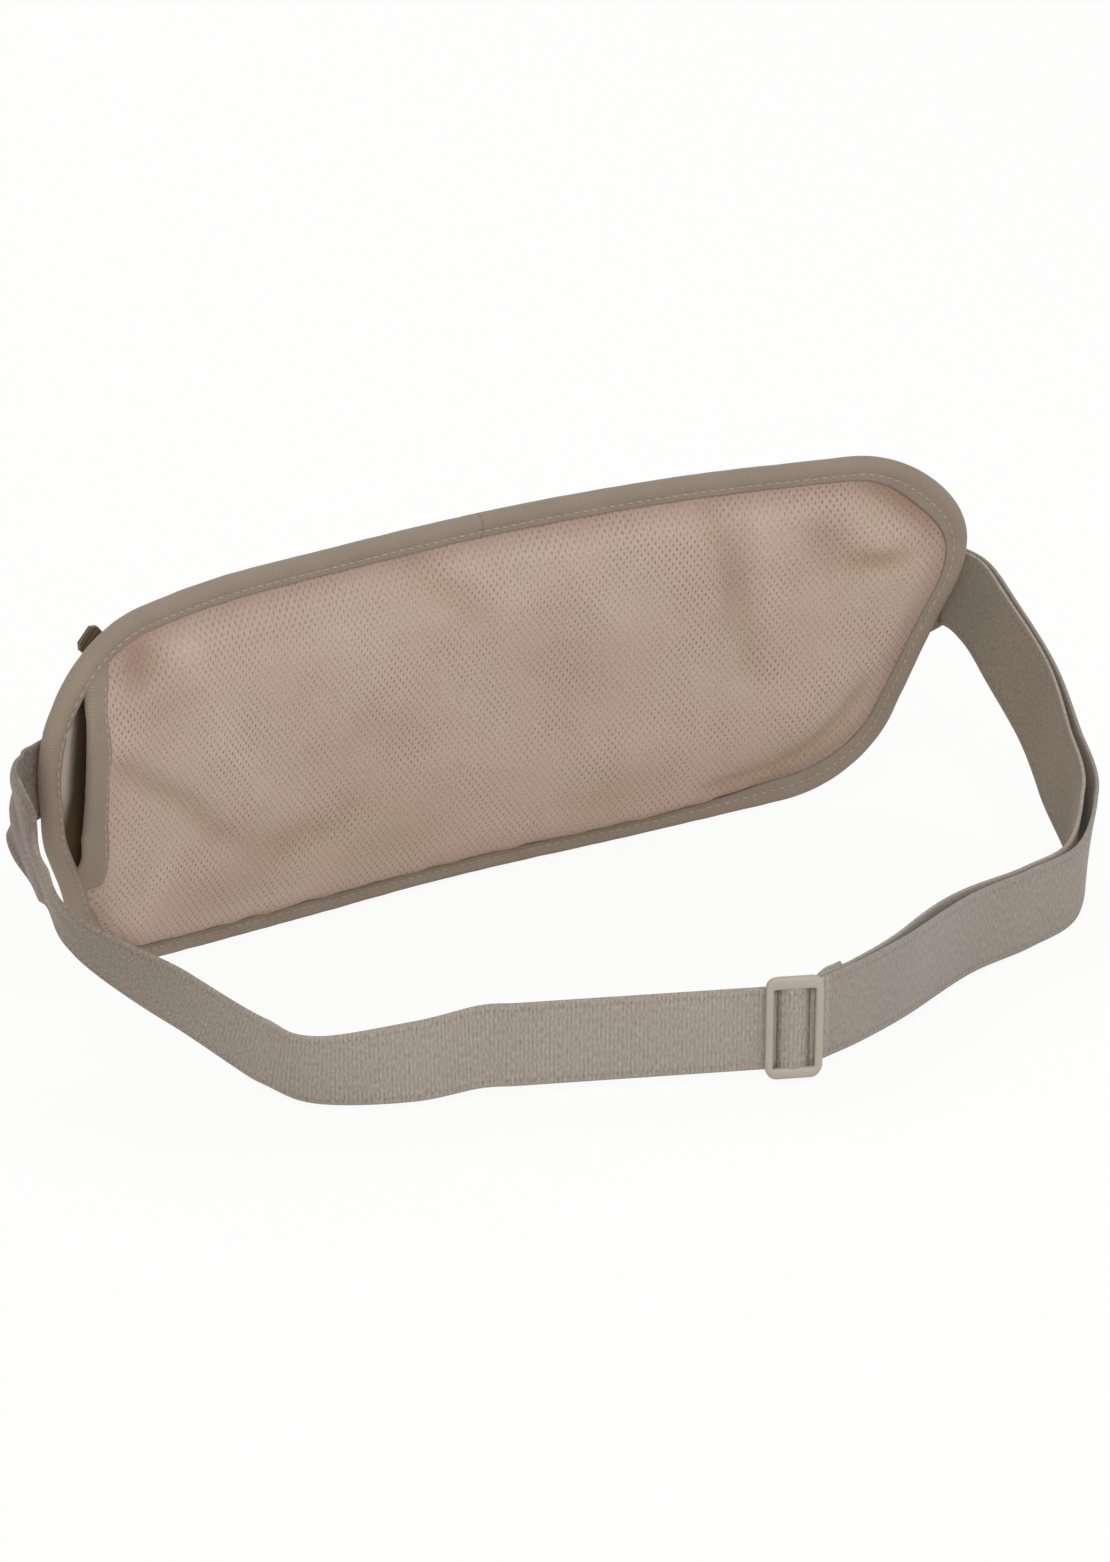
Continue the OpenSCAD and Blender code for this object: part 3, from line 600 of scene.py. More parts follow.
def strip_section(width, thickness, count=13):
    """Closed section of a flat strip with rounded edges, as places across and out."""
    flat = np.linspace(-1, 1, count) * (width - thickness) / 2
    turn = np.radians([60, 30, 0, -30, -60])
    r = thickness / 2
    edge = (width - thickness) / 2
    face = np.stack([flat, np.full(count, r)], 1)
    right = np.stack([edge + r * np.cos(turn), r * np.sin(turn)], 1)
    return np.concatenate([face, right, -face, -right])


def strip(name, points, across, out, width, thickness, shift=0.0, start=0.0):
    """Flat strip of webbing along a line, closed at both ends, with its inner face marked."""
    section = strip_section(width, thickness)
    middle = points + out * np.reshape(shift, (-1, 1))
    rings = (middle[:, None] + section[None, :, :1] * across[:, None]
             + section[None, :, 1:] * out[:, None])
    rows, columns = rings.shape[:2]
    uv = np.stack([np.repeat(start + way_along(points), columns), np.tile(section[:, 0], rows)], 1)
    obj = new_mesh(name, rings, [f[::-1] for f in tube_faces(rows, columns)], uv)
    inner = section[:, 1] < -thickness * 0.4
    index = np.zeros(len(obj.data.polygons), dtype=np.int32)
    column = np.tile(np.arange(columns), rows - 1)
    index[:len(column)] = inner[column] & inner[(column + 1) % columns]
    obj.data.polygons.foreach_set("material_index", index)
    return obj


def linear(code):
    """Linear colour from an sRGB hex value."""
    parts = [int(code[k:k + 2], 16) / 255 for k in (1, 3, 5)]
    return [c / 12.92 if c <= 0.04045 else ((c + 0.055) / 1.055) ** 2.4 for c in parts] + [1.0]


def shade(code, factor):
    """Hex value made lighter or darker."""
    parts = [min(255, round(int(code[k:k + 2], 16) * factor)) for k in (1, 3, 5)]
    return "#" + "".join(f"{p:02x}" for p in parts)


def set_inputs(tree, node, inputs):
    """Sets or links a node's inputs, where a node as a value stands for its first output."""
    for socket, value in inputs.items():
        if isinstance(value, bpy.types.Node):
            value = value.outputs[0]
        if isinstance(value, bpy.types.NodeSocket):
            tree.links.new(value, node.inputs[socket])
        else:
            node.inputs[socket].default_value = value
    return node


def add_node(tree, kind, inputs=None, **settings):
    """Adds a shader node with its settings, values and links."""
    node = tree.nodes.new("ShaderNode" + kind)
    for key, value in settings.items():
        setattr(node, key, value)
    return set_inputs(tree, node, inputs or {})


def start_material(name, roughness, sheen=0.0, specular=0.3):
    """New material with its shader's fixed values set."""
    material = bpy.data.materials.new(name)
    material.use_nodes = True
    tree = material.node_tree
    shader = set_inputs(tree, tree.nodes["Principled BSDF"], {
        "Roughness": roughness, "Sheen Weight": sheen, "Specular IOR Level": specular})
    return tree, shader


def finish_material(tree, shader, shown, height, depth, strength=0.6):
    """Gives a shader its colour and a bump of the given depth in metres."""
    bump = add_node(tree, "Bump", {"Strength": strength, "Distance": depth, "Height": height})
    set_inputs(tree, shader, {"Base Color": shown, "Normal": bump})


def cloth_place(tree):
    """Place on the cloth, and its parts along and across, in metres."""
    place = add_node(tree, "UVMap", uv_map="cloth")
    parts = add_node(tree, "SeparateXYZ", {"Vector": place})
    return place, parts.outputs["X"], parts.outputs["Y"]


def waves(tree, place, pitch):
    """Cosine waves of a pitch in metres along a place."""
    angle = add_node(tree, "Math", {0: place, 1: 2 * math.pi / pitch}, operation="MULTIPLY")
    return add_node(tree, "Math", {0: angle}, operation="COSINE")


def layers(tree, total, *parts):
    """Level of a finish: a first value and then patterns, each times its share."""
    for pattern, share in parts:
        total = add_node(tree, "Math", {0: pattern, 1: share, 2: total}, operation="MULTIPLY_ADD")
    return total


def spacer_mesh_material(colours):
    """Knitted polyester spacer mesh: matte yarn with rows of small open holes, seen as dark dots,
    and a warm pink to olive drift where the layers below show through, with painted shade and painted
    highlights along its folds."""
    tree, shader = start_material("knitted_spacer_mesh", 0.92, 0.12)
    place, along, up = cloth_place(tree)
    # The knit wanders a little, so that no row is quite straight
    wander = add_node(tree, "TexNoise", {"Vector": place, "Scale": 1 / (4 * MM), "Detail": 1.0})
    # Upright holes 2.4 mm apart along and 2.9 mm apart upward, in staggered rows
    column = waves(tree, layers(tree, along, (wander, 0.9 * MM)), 2.4 * MM)
    dots = column
    for factor in (column, column, waves(tree, up, 2.9 * MM)):
        dots = add_node(tree, "Math", {0: dots, 1: factor}, operation="MULTIPLY")
    hole = add_node(tree, "MapRange", {
        "Value": dots, "From Min": 0.15, "From Max": 0.75}, interpolation_type="SMOOTHSTEP")
    # The holes show clearly in some places and close up in others
    closing = add_node(tree, "TexNoise", {"Vector": place, "Scale": 1 / (21 * MM), "Detail": 2.0})
    show = add_node(tree, "MapRange", {
        "Value": closing, "From Min": 0.35, "From Max": 0.65, "To Min": 0.3, "To Max": 0.85})
    dark_share = add_node(tree, "Math", {0: hole, 1: show}, operation="MULTIPLY")
    drift = add_node(tree, "TexNoise", {"Vector": place, "Scale": 1 / (38 * MM), "Detail": 2.0})
    shown = add_node(tree, "ValToRGB", {"Fac": drift})
    stops = zip(shown.color_ramp.elements, (0.36, 0.64), (colours.mesh_warm, colours.mesh))
    for stop, position, code in stops:
        stop.position = position
        stop.color = linear(code)
    # Furrows get a painted olive shade and ridges a painted highlight; some places show the olive or rose
    # layer below, partly with painted shade
    fold, olive, rose = (
        add_node(tree, "Attribute", attribute_name=name).outputs["Fac"] for name in ("fold", "olive", "rose"))
    furrow_shade = add_node(tree, "MapRange", {
        "Value": fold, "From Min": 0.5, "From Max": 0.0, "To Min": 0.0, "To Max": 1.0})
    for share, most, code in (
            (furrow_shade, 0.5, colours.mesh_olive_and_shade), (olive, 0.4, colours.mesh_olive_and_shade),
            (rose, 0.5, colours.mesh_rose)):
        factor = add_node(tree, "Math", {0: share, 1: most}, operation="MULTIPLY")
        mix = add_node(tree, "Mix", {"Factor": factor, 6: shown, 7: linear(code)}, data_type="RGBA")
        shown = mix.outputs[2]
    yarn = add_node(tree, "TexNoise", {"Vector": place, "Scale": 1 / (0.9 * MM), "Detail": 1.0})
    grain = add_node(tree, "MapRange", {
        "Value": yarn, "From Min": 0.3, "From Max": 0.7, "To Min": 0.92, "To Max": 1.08})
    # Painted highlight on the ridges of the folds
    ridge_highlight = add_node(tree, "MapRange", {
        "Value": fold, "From Min": 0.5, "From Max": 0.9, "To Min": 1.0, "To Max": 1.1})
    lit = add_node(tree, "Math", {0: grain, 1: ridge_highlight}, operation="MULTIPLY")
    base = add_node(tree, "VectorMath", {0: shown, "Scale": lit}, operation="SCALE")
    dark = add_node(tree, "Mix", {
        "Factor": dark_share, 6: base, 7: linear(colours.mesh_hole)}, data_type="RGBA")
    height = add_node(tree, "Math", {0: 1.0, 1: dark_share}, operation="SUBTRACT")
    finish_material(tree, shader, dark.outputs[2], height, 0.3 * MM, 0.5)


def tape_material(name, code, rib):
    """Woven polyester tape: matte, with close cross ribs and slightly uneven dye."""
    tree, shader = start_material(name, 0.85, 0.1)
    place, along, _ = cloth_place(tree)
    # Ribs are drawn wider than the real 0.4 mm so that they show
    ribs = waves(tree, along, rib)
    grain = add_node(tree, "TexNoise", {"Vector": place, "Scale": 1 / (0.8 * MM), "Detail": 2.0})
    drift = add_node(tree, "TexNoise", {"Vector": place, "Scale": 1 / (22 * MM), "Detail": 2.0})
    level = layers(tree, 0.75, (ribs, 0.05), (grain, 0.16), (drift, 0.22))
    shown = add_node(tree, "VectorMath", {0: linear(code)[:3], "Scale": level}, operation="SCALE")
    finish_material(tree, shader, shown, layers(tree, grain, (ribs, 0.35)), 0.12 * MM)


def weave_material(name, code, pitch, pocket_shade=None):
    """Plain woven polyester cloth: matte, with crossing threads and soft uneven dye, and where it
    lines the inside of a pocket, painted shade from a place along it."""
    tree, shader = start_material(name, 0.88, 0.12)
    place, along, up = cloth_place(tree)
    # The threads are drawn coarser than the real 0.3 mm so that they show
    threads = add_node(tree, "Math", {
        0: waves(tree, along, pitch), 1: waves(tree, up, pitch)}, operation="MULTIPLY")
    drift = add_node(tree, "TexNoise", {"Vector": place, "Scale": 1 / (28 * MM), "Detail": 3.0})
    level = layers(tree, 0.88, (threads, 0.06), (drift, 0.22))
    shown = add_node(tree, "VectorMath", {0: linear(code)[:3], "Scale": level}, operation="SCALE")
    if pocket_shade:
        # Painted shade inside the pocket, where the mesh lip keeps the light off the lining
        inside = add_node(tree, "MapRange", {
            "Value": along, "From Min": POCKET_SHADE_FROM - 4.5 * MM, "From Max": POCKET_SHADE_FROM},
            interpolation_type="SMOOTHSTEP")
        mix = add_node(tree, "Mix", {"Factor": inside, 6: shown, 7: linear(pocket_shade)}, data_type="RGBA")
        shown = mix.outputs[2]
    finish_material(tree, shader, shown, threads, 0.1 * MM)


def webbing_material(name, code, crush_shade_code, rib_strength, width, slant):
    """Elastic webbing: matte yarn over rubber cores, so close ribs run across the width, with a
    grainy weave and a dotted line inside each selvedge."""
    tree, shader = start_material(name, 0.88, 0.15)
    place, along, across = cloth_place(tree)
    warp = add_node(tree, "Mapping", {
        "Vector": place, "Rotation": (0, 0, slant), "Scale": (1 / (0.6 * MM), 1 / (1.7 * MM), 1.0)})
    grain = add_node(tree, "TexNoise", {"Vector": warp, "Scale": 1.0, "Detail": 1.5})
    # Ribs are drawn a little wider than the real 1 mm so that they show
    ribs = waves(tree, layers(tree, along, (grain, 0.6 * MM)), 1.2 * MM)
    drift = add_node(tree, "TexNoise", {"Vector": place, "Scale": 1 / (30 * MM), "Detail": 2.0})
    aside = add_node(tree, "Math", {0: across}, operation="ABSOLUTE")
    line = add_node(tree, "Math", {0: aside, 1: width / 2 - 2.0 * MM, 2: 0.45 * MM}, operation="COMPARE")
    dots = add_node(tree, "Math", {0: waves(tree, along, 1.9 * MM), 1: 0.0}, operation="GREATER_THAN")
    spots = add_node(tree, "Math", {0: line, 1: dots}, operation="MULTIPLY")
    # Crushed webbing is drawn together, which closes its ribs; there it is also painted darker, as painted
    # shade in the creases of the turn and the tucks beside the adjuster's bars
    crush_shade = add_node(tree, "Attribute", attribute_name="crush_shade").outputs["Fac"]
    open_share = add_node(tree, "MapRange", {
        "Value": crush_shade, "From Max": 0.6, "To Min": rib_strength, "To Max": 0.0})
    ribbed = layers(tree, 0.5, (ribs, open_share))
    level = layers(tree, ribbed, (grain, 0.86), (drift, 0.14), (spots, -0.16), (crush_shade, -0.42))
    warm = add_node(tree, "Mix", {
        "Factor": crush_shade, 6: linear(code), 7: linear(crush_shade_code)}, data_type="RGBA")
    shown = add_node(tree, "VectorMath", {0: warm.outputs[2], "Scale": level}, operation="SCALE")
    finish_material(tree, shader, shown, layers(tree, grain, (ribbed, 4.0)), 0.18 * MM, 0.55)


def thread_material(code):
    """Polyester sewing thread: matte, twisted, a little lighter than the tape."""
    tree, shader = start_material("sewing_thread", 0.8, 0.2)
    place = add_node(tree, "TexCoord").outputs["Object"]
    twist = add_node(tree, "TexNoise", {"Vector": place, "Scale": 1 / (1.4 * MM), "Detail": 2.0})
    level = layers(tree, 0.75, (twist, 0.5))
    shown = add_node(tree, "VectorMath", {0: linear(code)[:3], "Scale": level}, operation="SCALE")
    finish_material(tree, shader, shown, twist, 0.05 * MM)


def moulded_material(name, code, roughness, grit, grip=None):
    """Moulded plastic or coated metal: satin, with a fine spark-eroded grain, faint wear and, on
    a grip, cross ribs along a direction."""
    tree, shader = start_material(name, roughness, specular=0.5)
    place = add_node(tree, "TexCoord").outputs["Object"]
    grain = add_node(tree, "TexNoise", {"Vector": place, "Scale": 1 / grit, "Detail": 3.0})
    wear = add_node(tree, "TexNoise", {"Vector": place, "Scale": 1 / (9 * MM), "Detail": 2.0})
    level, height = layers(tree, 0.92, (wear, 0.16)), grain
    if grip is not None:
        down = add_node(tree, "VectorMath", {0: place, 1: grip}, operation="DOT_PRODUCT")
        ribs = waves(tree, down.outputs["Value"], 1.8 * MM)
        level, height = layers(tree, level, (ribs, 0.3)), layers(tree, height, (ribs, 4.0))
    shown = add_node(tree, "VectorMath", {0: linear(code)[:3], "Scale": level}, operation="SCALE")
    gloss = add_node(tree, "MapRange", {
        "Value": grain, "To Min": roughness - 0.06, "To Max": roughness + 0.1})
    set_inputs(tree, shader, {"Roughness": gloss})
    finish_material(tree, shader, shown, height, 0.05 * MM, 0.4)


def belt_materials(belt):
    """All the materials, made once."""
    if "knitted_spacer_mesh" in bpy.data.materials:
        return bpy.data.materials
    c, width = belt.colours, belt.strap.width
    spacer_mesh_material(c)
    tape_material("woven_binding_tape", c.tape, 0.9 * MM)
    tape_material("woven_zip_tape", shade(c.tape, 0.92), 1.0 * MM)
    weave_material("plain_weave_lining", c.lining, 0.9 * MM, c.lining_pocket_shade)
    weave_material("plain_weave_front", c.front, 1.0 * MM)
    for name, code, rib_strength, slant in (
            ("elastic_webbing", c.webbing, 0.08, 0.0),
            ("elastic_webbing_inner_face", c.webbing_inner, 0.02, 0.2),
            # The slanting face is a darker copy of the webbing colour: painted shade on the strap's right run
            # and bend
            ("elastic_webbing_slant_face", shade(c.webbing, 0.935), 0.015, 0.7)):
        webbing_material(name, code, c.webbing_crush_shade, rib_strength, width, slant)
    thread_material(c.thread)
    moulded_material("nylon_zip_coil", c.zip, 0.42, 0.8 * MM)
    moulded_material("coated_zinc_slider", shade(c.zip, 1.1), 0.36, 0.6 * MM)
    hinge = Vector(joints["pull_swing"]["pos_m"])
    grip = (sum(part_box("pull_tab"), Vector()) / 2 - hinge).normalized()
    moulded_material("moulded_pull_tab", c.pull, 0.5, 0.7 * MM, grip)
    moulded_material("moulded_acetal_adjuster", c.plastic, 0.34, 0.7 * MM)
    moulded_material("moulded_acetal_hook", shade(c.plastic, 0.8), 0.45, 0.7 * MM)
    return bpy.data.materials


class BeltStep:
    """What the steps share: the settings, the shape, the strap's route and ways to dress a piece."""

    def start(self, context):
        """Reads the settings of the belt."""
        belt = context.scene.money_belt
        self.pouch, self.strap = belt.pouch, belt.strap
        self.shape = PouchShape(belt.pouch)
        self.route = StrapRoute(self.shape, belt.strap)
        self.materials = belt_materials(belt)

    def dress(self, obj, material, body="pouch", slot=None, nodes=()):
        """Gives a piece its material and its body, and hides the solids that it stands for; the slot is not
        used.
        """
        obj.data.materials.append(self.materials[material])
        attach(obj, body)
        if nodes:
            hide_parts(*nodes)

    def webbing(self, obj, body, nodes):
        """Gives a strip of webbing its two faces and its body."""
        self.dress(obj, "elastic_webbing", body, "strap_webbing", nodes)
        obj.data.materials.append(self.materials["elastic_webbing_inner_face"])

    def sew(self, name, points, ahead, out, body="pouch"):
        """Makes a row of stitches at points."""
        self.dress(stitch_row(name, points, ahead, out, self.strap), "sewing_thread", body)

    def sew_along(self, name, line, gap, side):
        """Makes a row of stitches along a line on one side of the pouch."""
        points, ahead = evenly(line, gap)
        self.sew(name, points, ahead, outward(points) * side)

    def finish_solid(self, node, material, width):
        """Rounds the edges of a solid a little and gives it its finish."""
        obj = frame["nodes"][node]
        obj.data.materials.clear()
        obj.data.materials.append(self.materials[material])
        edge = obj.modifiers.new("rounded_edges", "BEVEL")
        edge.width = width
        edge.segments = 3
        edge.limit_method = "ANGLE"
        edge.angle_limit = math.radians(40)
        edge.harden_normals = True


class BELT_OT_pouch_cloth(BeltStep, bpy.types.Operator):
    """Makes the mesh body side, the two linings and the two front panels"""

    bl_idname = "money_belt.pouch_cloth"
    bl_label = "Pouch cloth"

    def execute(self, context):
        self.start(context)
        self.body_side()
        self.linings()
        self.front()
        return {"FINISHED"}

    def cloth(self, obj, material, slot, node, flat, area):
        """Gives a sheet its finish and its body, and hides the solid that it stands for; the flat size and
        area are not used.
        """
        self.dress(obj, material, "pouch", slot, [node])

    def body_side(self):
        """The mesh, with its folds and the shares of the tints in it."""
        shape, mouth_x = self.shape, self.pouch.mouth_x
        x = np.linspace(mouth_x, HALF_W - 3.0 * MM, 260)
        xs, zs = between(x, *shape.heights(x, 2.6 * MM), 96)
        # The cloth near the mouth follows its curved edge
        xs = xs + (mouth_at(shape, zs)[0] - mouth_x) * ramp(mouth_x - x, -30, 30)
        obj = sheet_of(shape, "body_mesh_panel", xs, zs, body_depth(shape, xs, zs), -1, MESH_T)
        # Painted shade on the mesh along the inner edge of the binding, added to the rose tint
        seam = hill(shape.inside(xs, zs) - shape.tape_at(xs, zs), 0, 5)
        mark(obj, "fold", np.clip(0.5 + fold_height(xs, zs, MESH_FOLDS) / (4 * MM), 0, 1))
        # The olive and rose tints are partly the layers below showing through and partly painted shade
        mark(obj, "olive", tint(xs, zs, OLIVE_AND_SHADE_PLACES))
        mark(obj, "rose", np.maximum(tint(xs, zs, ROSE_AND_SHADE_PLACES), 0.75 * seam))
        self.cloth(obj, "knitted_spacer_mesh", "spacer_mesh", "back_mesh_panel", (0.312, 0.12), 0.0335)

    def linings(self):
        """The two linings, of which the pocket's is rolled up inside the mouth."""
        x = np.linspace(-HALF_W + 1.6 * MM, HALF_W - 1.6 * MM, 320)
        xs, zs = between(x, *self.shape.heights(x, 1.4 * MM), 64)
        wave = 0.12 * MM * crumple(xs, zs, 31) * ramp(self.shape.inside(xs, zs), 8, 10)
        middle = -152.6 * MM + 2 * MM * ramp(-zs, -76, 14)
        roll = 2.4 * MM * hill(xs - middle, 0, 3.6) * ramp(zs, 60, 14) * ramp(-zs, -101, 10)
        for name, node, side, depth in (
                ("pocket_lining_cloth", "pocket_lining", -1, 0.75 * MM + wave + roll),
                ("main_lining_cloth", "main_lining", 1, 0.45 * MM + wave)):
            obj = sheet_of(self.shape, name, xs, zs, depth, side, 0.4 * MM)
            self.cloth(obj, "plain_weave_lining", "lining_cloth", node, (0.318, 0.118), 0.0335)

    def front(self):
        """The two panels of the front, whose edges part along the zip and meet beyond its ends."""
        zip_z = self.pouch.zip_z
        x = np.linspace(-HALF_W + 1.8 * MM, HALF_W - 1.8 * MM, 230)
        low, high = self.shape.heights(x, 1.4 * MM)
        gap = 0.2 * MM + 3.0 * MM * ramp(self.pouch.zip_half - np.abs(x), -2.5, 4)
        below, above = np.minimum(high, zip_z - gap), zip_z + gap
        for name, node, edge, bottom, top, rows, flat, area in (
                ("front_lower_cloth", "front_main_panel", -1, low, below, 74, (0.317, 0.092), 0.0272),
                ("front_upper_cloth", "front_top_panel", 1, np.minimum(high, above),
                 np.maximum(high, above), 24, (0.317, 0.03), 0.0064)):
            xs, zs = between(x, bottom, top, rows)
            roll = 0.5 * MM * ramp(-np.abs(zs - zip_z), -6.5, 6.5)
            obj = sheet_of(self.shape, name, xs, zs, front_depth(self.shape, xs, zs) - roll, 1, 0.9 * MM)
            self.cloth(obj, "plain_weave_front", "front_cloth", node, flat, area)
            self.topstitch(edge, name + "_topstitch")

    def topstitch(self, edge, name):
        """Row of stitches beside the zip, below or above it."""
        reach = self.pouch.zip_half + 4 * MM
        x = np.linspace(-reach, reach, 500)
        z = np.full(len(x), self.pouch.zip_z + edge * 5.4 * MM)
        face = front_depth(self.shape, x, z) + 0.05 * MM
        self.sew_along(name, self.shape.place(x, z, face), 3.0 * MM, 1)


class BELT_OT_edge_binding(BeltStep, bpy.types.Operator):
    """Makes the folded tape round the edge of the pouch and its two rows of stitches"""

    bl_idname = "money_belt.edge_binding"
    bl_label = "Edge binding"

    # Distance from the edge at which the tape turns flat, and of the stitches from its inner edge
    flat_from, seam_in = 3.2 * MM, 2.0 * MM

    def execute(self, context):
        self.start(context)
        self.tape()
        for name, face in (("edge_stitches_body", -3.0), ("edge_stitches_front", 2.55)):
            self.stitches(name, face * MM)
        return {"FINISHED"}

    def tape(self):
        """The tape, drawn in along its stitches and wider where more of it shows."""
        shape, width, count = self.shape, self.pouch.tape_w, 760
        points, inward, at = shape.loop(0, count)
        section = self.section(width / MM)
        d, n = section.T[:, None]
        more = shape.tape_at(points[:, :1], points[:, 1:]) - width
        inset = d + more * np.clip((d - self.flat_from) / (width - self.flat_from), 0, 1)
        seam = hill(d - width + self.seam_in, 0, 0.8)
        pucker = np.sin(at / (6.1 * MM) * 2 * math.pi)[:, None] * 0.5 + 0.5
        ripple = 0.16 * MM * crumple(at[:, None], d * 1.5, 13)
        side = np.sign(n) * np.minimum(np.abs(n) / (1.2 * MM), 1)
        n = n + side * (ripple - 0.3 * MM * seam * (0.45 + 0.55 * pucker))
        rings = shape.place(points[:, :1] + inset * inward[:, :1], points[:, 1:] + inset * inward[:, 1:], n)
        uv = np.stack([np.repeat(at, len(section)), np.tile(way_along(section), count)], 1)
        faces = grid_faces(count, len(section), around_rows=True, around_columns=True)
        obj = new_mesh("edge_tape", rings, faces, uv)
        self.dress(obj, "woven_binding_tape", "pouch", "binding_tape", ["edge_binding"])

    def section(self, w):
        """Closed section of the folded tape by its width in mm, as distances in and out."""
        turn = np.radians(np.linspace(-90, 90, 13))
        flat = self.flat_from / MM
        back = [(w, -2.75), (w - 0.4, -3.05), (w - 1.3, -3.1), (w - 2.0, -3.1), (w - 2.7, -3.15),
                (flat, -3.2)]
        nose = np.stack([2.7 - 2.7 * np.cos(turn), -0.3 + 2.85 * np.sin(turn)], 1)
        front = [(flat, 2.62), (w - 2.7, 2.58), (w - 2.0, 2.55), (w - 1.3, 2.55), (w - 0.4, 2.5),
                 (w, 2.2)]
        inner = [(w - 0.3, 1.7), (1.4, 1.7), (1.0, 0.0), (1.4, -2.3), (w - 0.3, -2.3)]
        return np.concatenate([back, nose, front, inner]) * MM

    def stitches(self, name, face):
        """Row of stitches round one face of the tape."""
        points, inward, _ = self.shape.loop(0, 1600)
        width = self.pouch.tape_w
        seam = width - self.seam_in
        more = self.shape.tape_at(*points.T) - width
        seam = seam + more * (seam - self.flat_from) / (width - self.flat_from)
        line = self.shape.place(*(points.T + seam * inward.T), np.full(len(points), face))
        self.sew_along(name, np.concatenate([line, line[:1]]), 3.05 * MM, np.sign(face))


class BELT_OT_pocket_mouth(BeltStep, bpy.types.Operator):
    """Makes the tape on the mouth of the slip pocket and its row of stitches"""

    bl_idname = "money_belt.pocket_mouth"
    bl_label = "Pocket mouth"

    def execute(self, context):
        self.start(context)
        shape = self.shape
        z = np.linspace(36 * MM, 110 * MM, 150)
        edge, width, _ = mouth_at(shape, z)
        # Section of the tape, folded round the edge of the mesh: places across and out of its face
        full, tape, under = 8.0 * MM, 0.55 * MM, -MESH_T - 0.55 * MM
        across = np.array([8, 7.5, 6, 3.5, 1.2, 0.1, -0.55, -0.75, -0.55, 0.1, 1.2, 4, 8]) * MM
        lift = np.array([
            0.0, tape, tape, tape, tape, tape * 0.9, 0.1 * MM, -MESH_T / 2, -MESH_T - 0.1 * MM,
            under, under, under, -MESH_T - 0.1 * MM])
        xs = edge[:, None] + across * np.where(across > 0, width[:, None] / full, 1)
        zs = np.broadcast_to(z[:, None], xs.shape)
        depth = body_depth(shape, np.maximum(xs, edge[:, None]), zs) + lift
        depth += 0.1 * MM * crumple(zs * 2, xs, 9)
        rows, columns = xs.shape
        way = way_along(np.stack([across, lift], 1))
        uv = np.stack([np.repeat(z, columns), np.tile(way, rows)], 1)
        obj = new_mesh("mouth_tape", shape.place(xs, zs, -depth), tube_faces(rows, columns), uv)
        self.dress(obj, "woven_binding_tape", "pouch", "binding_tape", ["pocket_mouth_binding"])
        # The stitches stop short of both ends
        seam_x, seam_z = (edge + width * 0.8)[20:-16], z[20:-16]
        face = body_depth(shape, seam_x, seam_z) + tape + 0.02 * MM
        self.sew_along("mouth_stitches", shape.place(seam_x, seam_z, -face), 3.0 * MM, -1)
        return {"FINISHED"}


class BELT_OT_zip(BeltStep, bpy.types.Operator):
    """Makes the zip tapes and coils, and finishes the stops, the slider and the pull tab"""

    bl_idname = "money_belt.zip"
    bl_label = "Zip"

    def execute(self, context):
        self.start(context)
        for side, part in ((1, "upper"), (-1, "lower")):
            self.tape(side, part)
            self.coil(side, part)
        for node in ("zip_left_stop", "zip_right_stop", "zip_slider"):
            self.finish_solid(node, "coated_zinc_slider", 0.22 * MM)
        self.finish_solid("pull_tab", "moulded_pull_tab", 0.22 * MM)
        return {"FINISHED"}

    def tape(self, side, part):
        """One tape, from beside its coil to under the front cloth."""
        reach = self.pouch.zip_half + 1.5 * MM
        x, rows = np.linspace(-reach, reach, 160), 9
        near, far = (np.full(len(x), self.pouch.zip_z + side * k * MM) for k in (0.7, 6.6))
        xs, zs = between(x, near, far, rows)
        obj = sheet_of(self.shape, "zip_tape_" + part, xs, zs, 4.75 * MM, 1, 0.5 * MM)
        self.dress(obj, "woven_zip_tape", "pouch", "zip_tape", [f"zip_{part}_tape"])

    def coil(self, side, part):
        """One nylon coil: a close helix whose turns face the other coil."""
        pitch, wire, sides = 1.45 * MM, 0.36 * MM, 6
        reach = self.pouch.zip_half - 1.6 * MM
        t = np.arange(int(2 * reach / pitch) * 10 + 1) / 10
        angle = 2 * math.pi * t + (math.pi if side < 0 else 0)
        x = -reach + t * pitch + 0.075 * pitch * np.sin(angle * 2)
        z = self.pouch.zip_z + side * (1.72 * MM - 0.98 * MM * np.cos(angle))
        line = self.shape.place(x, z, 5.75 * MM + 0.5 * MM * np.sin(angle))
        ahead = unit(np.gradient(line, axis=0))
        aside = unit(np.cross(ahead, outward(line)))
        rings = rings_round(line, aside, np.cross(aside, ahead), wire, wire, sides)
        obj = new_mesh("zip_coil_" + part, rings, tube_faces(len(line), sides))
        self.dress(obj, "nylon_zip_coil", "pouch", "zip_coil", [f"zip_{part}_coil"])


